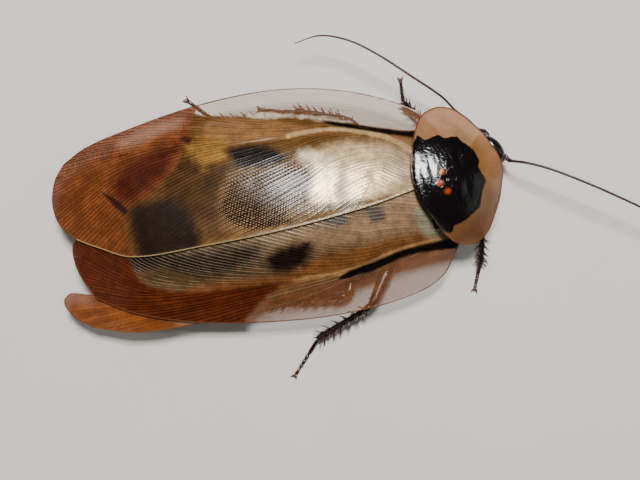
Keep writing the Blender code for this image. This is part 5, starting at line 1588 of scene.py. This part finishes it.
@dataclass(frozen=True)
class Leg:
    """One leg: broad coxa, small trochanter, flat femur, spiny tibia and a jointed foot with claws."""

    name: str
    points: tuple
    scale: float
    spines_per_row: int
    seed: int
    corner: float = 1.6
    tarsus_radius: float = 0.42
    coxa_width: Profile = Profile(((0, 1.5), (0.3, 2.1), (0.7, 1.55), (0.93, 1.0), (1, 0.7)))
    coxa_height: Profile = Profile(((0, 0.9), (0.4, 1.05), (1, 0.75)))
    femur_width: Profile = Profile(((0, 0.6), (0.08, 0.95), (0.3, 1.35), (0.75, 1.1), (0.94, 0.85), (1, 0.6)))
    femur_height: Profile = Profile(((0, 0.6), (0.25, 0.95), (0.9, 0.8), (1, 0.6)))
    tibia_width: Profile = Profile(((0, 0.5), (0.06, 0.72), (0.16, 0.6), (0.8, 0.74), (0.96, 0.78), (1, 0.5)))
    spine_length: float = 2.0
    spine_radius: float = 0.2
    spine_lean: float = math.radians(50.0)
    coxa_ceiling: float = 3.35
    clearance: float = 0.05

    def path(self) -> tuple[Track, list[float]]:
        """Lay the leg's whole path with rounded corners, and find its joints on it."""
        corners = [np.array(point, float) for point in self.points]
        touch = mix(corners[3], corners[4], 0.3)
        touch[2] = self.tarsus_radius
        corners = corners[:4] + [touch, corners[4]]
        points = [corners[0]]
        for before, corner, after in zip(corners, corners[1:], corners[2:]):
            reach = min(
                self.corner, 0.45 * np.linalg.norm(before - corner), 0.45 * np.linalg.norm(after - corner)
            )
            start, end = corner + unit(before - corner) * reach, corner + unit(after - corner) * reach
            for t in np.linspace(0, 1, 9):
                points.append(mix(mix(start, corner, t), mix(corner, end, t), t))
        points.append(corners[-1])
        track = Track(points, smooth=False)
        joints = [
            track.lengths[np.argmin(np.linalg.norm(track.points - corner, axis=1))] / track.length
            for corner in corners[1:4]
        ]
        return track, joints

    def build(self, finish: bpy.types.Material) -> None:
        """Make the leg's segments, each in place of its solid."""
        track, (trochanter, knee, ankle) = self.path()
        overlap = 0.25 / track.length
        self.segment(
            "coxa", track, 0.0, trochanter - 0.3 * overlap, self.coxa_width, self.coxa_height, finish
        )
        self.segment(
            "femur", track, trochanter - 2.5 * overlap, knee + overlap, self.femur_width, self.femur_height,
            finish,
        )
        self.build_tibia(track, knee, ankle, finish)
        self.build_tarsus(track, ankle, finish)

    def segment(
        self,
        word: str,
        track: Track,
        start: float,
        end: float,
        wide: Profile,
        high: Profile,
        finish: bpy.types.Material,
    ) -> None:
        """Make one smooth segment with a keel along its outer edge.

        Args:
            word: The segment's name.
            track: The leg's path.
            start: Share of the path where it begins.
            end: Share where it ends.
            wide: Half width along it.
            high: Half height along it.
            finish: Its material.
        """
        local = np.linspace(0, 1, 56)
        rings = track.rings(mix(start, end, local), wide(local) * self.scale, high(local) * self.scale, 32)
        rings = rings + 0.035 * ripple(rings, 0.9, self.seed)[..., None] * UP
        if word == "coxa":
            rings[..., 2] = np.minimum(rings[..., 2], self.coxa_ceiling)
        rings[..., 2] = np.maximum(rings[..., 2], self.clearance)
        skin = Skin("thin", "pale")
        ends = np.exp(-(((local - 1) / 0.05) ** 2)) + np.exp(-((local / 0.05) ** 2))
        skin.add_tube(rings, thin=0.12 + 0.5 * ends, pale=0.0)
        if word == "femur":
            for row in (-1, 1):
                for t in np.linspace(0.35, 0.9, 5):
                    self.add_spine(
                        skin, track, mix(start, end, t), math.radians(90 * row + 25), 0.8 * self.scale,
                        1.05, 0.13,
                    )
        skin.build(word + "_" + self.name, finish, "leg")

    def add_spine(
        self, skin: Skin, track: Track, share: float, angle: float, length: float, out: float, radius: float
    ) -> None:
        """Add one curved spine with a collar at its root.

        Args:
            skin: The skin it joins.
            track: The leg's path.
            share: Where it stands along the path.
            angle: Its place round the segment, from the top.
            length: Its length.
            out: How far its root lies from the path.
            radius: Its half thickness at the root.
        """
        centre, heading = track.at(share), track.heading(share)
        aside = unit(np.cross(UP, heading))
        above = np.cross(heading, aside)
        away = aside * math.sin(angle) + above * math.cos(angle)
        lean = unit(away * math.sin(self.spine_lean) + heading * math.cos(self.spine_lean))
        root = centre + away * (out * self.scale - 0.25)
        tip = root + lean * length
        tip[2] = max(tip[2], self.clearance)
        bend = mix(root, tip, 0.5) + away * 0.08 * length
        thorn = Track([root, bend, tip], steps=6)
        steps = np.linspace(0, 1, 9)
        size = radius * Profile(((0, 1.35), (0.12, 1.0), (0.6, 0.62), (1, 0.07)))(steps)
        skin.add_tube(thorn.rings(steps, size, size, 8), thin=0.25 + 0.75 * steps, pale=0.0)

    def build_tibia(self, track: Track, knee: float, ankle: float, finish: bpy.types.Material) -> None:
        """Make the tibia with its rows of long spines."""
        rng = np.random.default_rng(self.seed)
        overlap = 0.2 / track.length
        local = np.linspace(0, 1, 60)
        share = mix(knee - overlap, ankle + overlap, local)
        size = self.tibia_width(local) * self.scale
        rings = track.rings(share, size, size * 0.92, 28)
        rings = rings + 0.03 * ripple(rings, 0.7, self.seed)[..., None] * UP
        rings[..., 2] = np.maximum(rings[..., 2], self.clearance)
        skin = Skin("thin", "pale")
        skin.add_tube(rings, thin=0.1 + 0.5 * np.exp(-(((local - 1) / 0.06) ** 2)), pale=0.0)
        count = self.spines_per_row
        rows = ((-82.0, 1.0), (-38.0, 0.85), (12.0, 0.75), (52.0, 0.85), (88.0, 1.0))
        for row, (degrees, factor) in enumerate(rows):
            for i in range(count + (row % 2)):
                place = (i + 0.7 + 0.3 * (row % 2)) / (count + 0.4 + (row % 2))
                place = min(place + rng.uniform(-0.02, 0.02), 0.96)
                length = self.spine_length * self.scale * factor * (0.75 + 0.4 * place)
                length = length * rng.uniform(0.9, 1.08)
                angle = math.radians(degrees + rng.uniform(-6, 6))
                self.add_spine(
                    skin, track, mix(knee, ankle, place), angle, length, 0.62, self.spine_radius * self.scale
                )
        skin.build("tibia_" + self.name, finish, "leg")

    def build_tarsus(self, track: Track, ankle: float, finish: bpy.types.Material) -> None:
        """Make the foot of five joints with pads, and a pair of hooked claws."""
        end = 1.0 - 0.9 / track.length
        bounds = mix(ankle, end, np.array((0.0, 0.42, 0.56, 0.68, 0.78, 1.0)))
        skin = Skin("thin", "pale")
        for number, (start, stop) in enumerate(zip(bounds, bounds[1:])):
            local = np.linspace(0, 1, 16)
            share = mix(start - 0.12 / track.length, stop + 0.06 / track.length, local)
            shape = Profile(((0, 0.5), (0.15, 0.8), (0.8, 1.0), (1, 0.6)))(local)
            radius = self.tarsus_radius * (0.95, 0.9, 0.88, 0.86, 0.8)[number] * shape
            rings = track.rings(share, radius, radius, 18)
            rings[..., 2] -= (self.tarsus_radius - radius)[:, None] * 0.8
            rings[..., 2] = np.maximum(rings[..., 2], 0.0)
            skin.add_tube(rings, thin=0.2 + 0.12 * number + 0.3 * local**3, pale=0.0)
        heading = track.heading(end)
        aside = unit(np.cross(UP, heading))
        root = track.at(end) - heading * 0.15
        for sign in (1, -1):
            out = unit(heading + aside * 0.75 * sign)
            hook = Track([
                root + aside * 0.1 * sign,
                root + out * 0.5 + UP * 0.1,
                root + out * 0.98 + heading * 0.1 - UP * 0.1,
                root + out * 1.1 + heading * 0.2 - UP * 0.33,
            ])
            steps = np.linspace(0, 1, 14)
            size = Profile(((0, 0.2), (0.4, 0.15), (1, 0.03)))(steps)
            rings = hook.rings(steps, size, size, 10)
            rings[..., 2] = np.maximum(rings[..., 2], 0.02)
            skin.add_tube(rings, thin=1.0, pale=0.35)
        pad = root + heading * 0.4
        pad[2] = 0.22
        skin.add_ball(pad, np.array((heading * 0.35, aside * 0.28, UP * 0.18)), 14, 10, thin=0.8, pale=0.5)
        skin.build("tarsus_" + self.name, finish, "leg")


LEG_POINTS: dict[str, tuple] = {
    "fore_left": ((11.2, 2.4, 2.3), (8.9, 5.8, 2.2), (6.3, 13.1, 3.7), (2.8, 19.0, 1.15), (3.3, 25.0, 0.42)),
    "fore_right": (
        (11.2, -2.4, 2.3), (8.1, -5.2, 2.2), (12.6, -10.4, 3.9), (11.3, -16.2, 1.15), (9.0, -21.6, 0.42)
    ),
    "mid_left": (
        (2.4, 3.2, 2.3), (-3.4, 8.4, 2.2), (-9.6, 17.6, 3.9), (-19.3, 21.6, 1.15), (-27.2, 23.9, 0.42)
    ),
    "mid_right": (
        (2.4, -3.2, 2.3), (-3.4, -8.4, 2.2), (-12.0, -20.4, 3.9), (-23.6, -24.7, 1.15), (-30.0, -31.5, 0.42)
    ),
    "hind_left": (
        (-5.6, 3.4, 2.3), (-12.0, 8.4, 2.2), (-19.4, 19.6, 3.9), (-35.2, 22.3, 1.15), (-41.3, 29.0, 0.42)
    ),
    "hind_right": (
        (-5.6, -3.4, 2.3), (-12.0, -8.4, 2.2), (-16.2, -17.6, 3.8), (-31.8, -15.5, 1.15), (-40.8, -15.0, 0.42)
    ),
}
LEG_SCALE = {"fore": 0.88, "mid": 1.0, "hind": 1.05}
SPINES_PER_ROW = {"fore": 4, "mid": 6, "hind": 7}

ANTENNA_PATHS: dict[Side, tuple] = {
    Side.LEFT: (
        (17.2, 9.4, 4.6), (16.5, 9.7, 5.3), (15.5, 10.1, 5.8), (13.9, 12.2, 6.2), (11.9, 14.4, 6.4),
        (9.6, 17.5, 7.2), (5.6, 21.2, 8.3), (-2.0, 28.2, 9.4), (-6.9, 31.9, 9.2), (-12.0, 34.0, 8.4),
        (-17.1, 33.7, 7.4),
    ),
    Side.RIGHT: (
        (20.5, 2.9, 4.6), (21.3, 2.2, 6.2), (22.9, 1.3, 7.8), (26.2, -0.5, 8.8), (30.3, -3.2, 9.6),
        (35.4, -6.7, 9.8), (42.3, -11.6, 9.4), (48.3, -16.4, 8.8), (53.2, -22.0, 7.4),
    ),
}


@dataclass(frozen=True)
class Studio:
    """A pale board, soft light from above the insect's left, and the camera of the photo."""

    azimuth: float = math.radians(-11.0)
    elevation: float = math.radians(84.0)
    lens: float = 50.0
    sensor: float = 36.0
    image: tuple[int, int] = (640, 480)
    distance: float = 170.0
    aim_pixel: tuple[float, float] = (414.5, 188.0)
    aim: tuple[float, float, float] = (0.0, 0.0, 11.5)
    board_size: float = 4000.0
    key_tilt: float = math.radians(25.0)
    key_distance: float = 600.0
    key_size: float = 150.0
    key_power: float = 5.4
    fill_distance: float = 900.0
    fill_size: float = 500.0
    fill_powers: tuple[float, float] = (0.45, 0.35)
    room: float = 0.1
    room_colour: str = "#f3efe9"
    lit_place: tuple[float, float, float] = (-25.0, 2.0, 8.0)

    def camera_axes(self) -> tuple[np.ndarray, np.ndarray, np.ndarray]:
        """Give the camera's right, up and backward directions."""
        a, e = self.azimuth, self.elevation
        back = np.array((math.sin(a) * math.cos(e), -math.cos(a) * math.cos(e), math.sin(e)))
        right = np.array((math.cos(a), math.sin(a), 0.0))
        return right, np.cross(back, right), back

    def build(self, board: bpy.types.Material) -> None:
        """Make the floor, the lights, the world's light and the camera."""
        self.build_board(board)
        self.build_lights()
        self.build_camera()

    def build_board(self, finish: bpy.types.Material) -> None:
        """Lay the board under the feet."""
        half = self.board_size / 2 * MM
        mesh = bpy.data.meshes.new("board")
        mesh.from_pydata(
            [(-half, -half, 0), (half, -half, 0), (half, half, 0), (-half, half, 0)], [], [(0, 1, 2, 3)]
        )
        mesh.materials.append(finish)
        board = bpy.data.objects.new("board", mesh)
        bpy.context.scene.collection.objects.link(board)

    def add_softbox(self, name: str, towards: np.ndarray, size: float, power: float, distance: float) -> None:
        """Hang one square light that faces the wings' middle."""
        middle = (np.array(self.lit_place) + ORIGIN) * MM
        light = bpy.data.lights.new(name, "AREA")
        light.size = size * MM
        light.energy = power
        lamp = bpy.data.objects.new(name, light)
        lamp.location = middle + unit(towards) * distance * MM
        lamp.rotation_euler = Vector(unit(towards)).to_track_quat("Z", "Y").to_euler()
        bpy.context.scene.collection.objects.link(lamp)

    def build_lights(self) -> None:
        """Set a key light by the camera and two weak fills, in a pale room."""
        right, up, back = self.camera_axes()
        key = back * math.cos(self.key_tilt) + up * math.sin(self.key_tilt) + right * 0.04
        self.add_softbox("key", key, self.key_size, self.key_power, self.key_distance)
        fills = {"fill_front": back * 0.6 + right * 0.9, "fill_rear": back * 0.7 - right * 0.8 - up * 0.4}
        for (name, towards), power in zip(fills.items(), self.fill_powers):
            self.add_softbox(name, towards, self.fill_size, power, self.fill_distance)
        world = bpy.data.worlds.new("pale_room")
        world.use_nodes = True
        background = world.node_tree.nodes["Background"]
        background.inputs["Color"].default_value = linear(self.room_colour)
        background.inputs["Strength"].default_value = self.room
        bpy.context.scene.world = world

    def build_camera(self) -> None:
        """Set the camera so that the aim point falls on its pixel."""
        right, up, back = self.camera_axes()
        focal = self.image[0] * self.lens / self.sensor
        across = (self.aim_pixel[0] - self.image[0] / 2) / focal
        upward = (self.aim_pixel[1] - self.image[1] / 2) / focal
        place = np.array(self.aim) - (right * across - up * upward - back) * self.distance
        camera = bpy.data.cameras.new("camera")
        camera.lens = self.lens
        camera.sensor_width = self.sensor
        camera.clip_start = 0.001
        eye = bpy.data.objects.new("camera", camera)
        eye.location = (place + ORIGIN) * MM
        eye.rotation_euler = Vector(back).to_track_quat("Z", "Y").to_euler()
        turned = np.array(eye.rotation_euler.to_matrix()) @ np.array((1.0, 0.0, 0.0))
        roll = math.atan2(float(turned @ -up), float(turned @ right))
        eye.rotation_euler.rotate_axis("Z", roll)
        bpy.context.scene.collection.objects.link(eye)
        bpy.context.scene.camera = eye


def main() -> None:
    """Build the insect in order, then the studio."""
    logging.basicConfig(level=logging.INFO, format="%(name)s: %(message)s")
    leg = Chitin("leg_cuticle", dark="#0a0605", thin="#421a0c", coat=0.0).material()
    trunk = Chitin("trunk_cuticle", dark="#1a0e09", thin="#5a2a14", roughness=(0.25, 0.42)).material()
    head_finish = Chitin("head_cuticle", dark="#0c0807", roughness=(0.12, 0.28), coat=0.4).material()
    soft = Chitin(
        "neck_skin", dark="#4a3424", thin="#7a5c40", pale="#b09070", roughness=(0.4, 0.6), coat=0.0
    ).material()
    whip = Chitin(
        "antenna_cuticle", dark="#22120b", thin="#4a2414", roughness=(0.3, 0.5), coat=0.0
    ).material()
    Pronotum().build(ShieldChitin().material())
    make_wings()
    Trunk().build(trunk, soft)
    Head().build(head_finish, head_finish, EyeFacets().material())
    for side, path in ANTENNA_PATHS.items():
        Antenna(side, path).build(whip)
    for seed, (name, points) in enumerate(LEG_POINTS.items(), start=11):
        pair = name.split("_")[0]
        Leg(name, points, LEG_SCALE[pair], SPINES_PER_ROW[pair], seed).build(leg)
    Studio().build(Board().material())
    log.info("all pieces are in place")


if __name__ == "__main__":
    main()
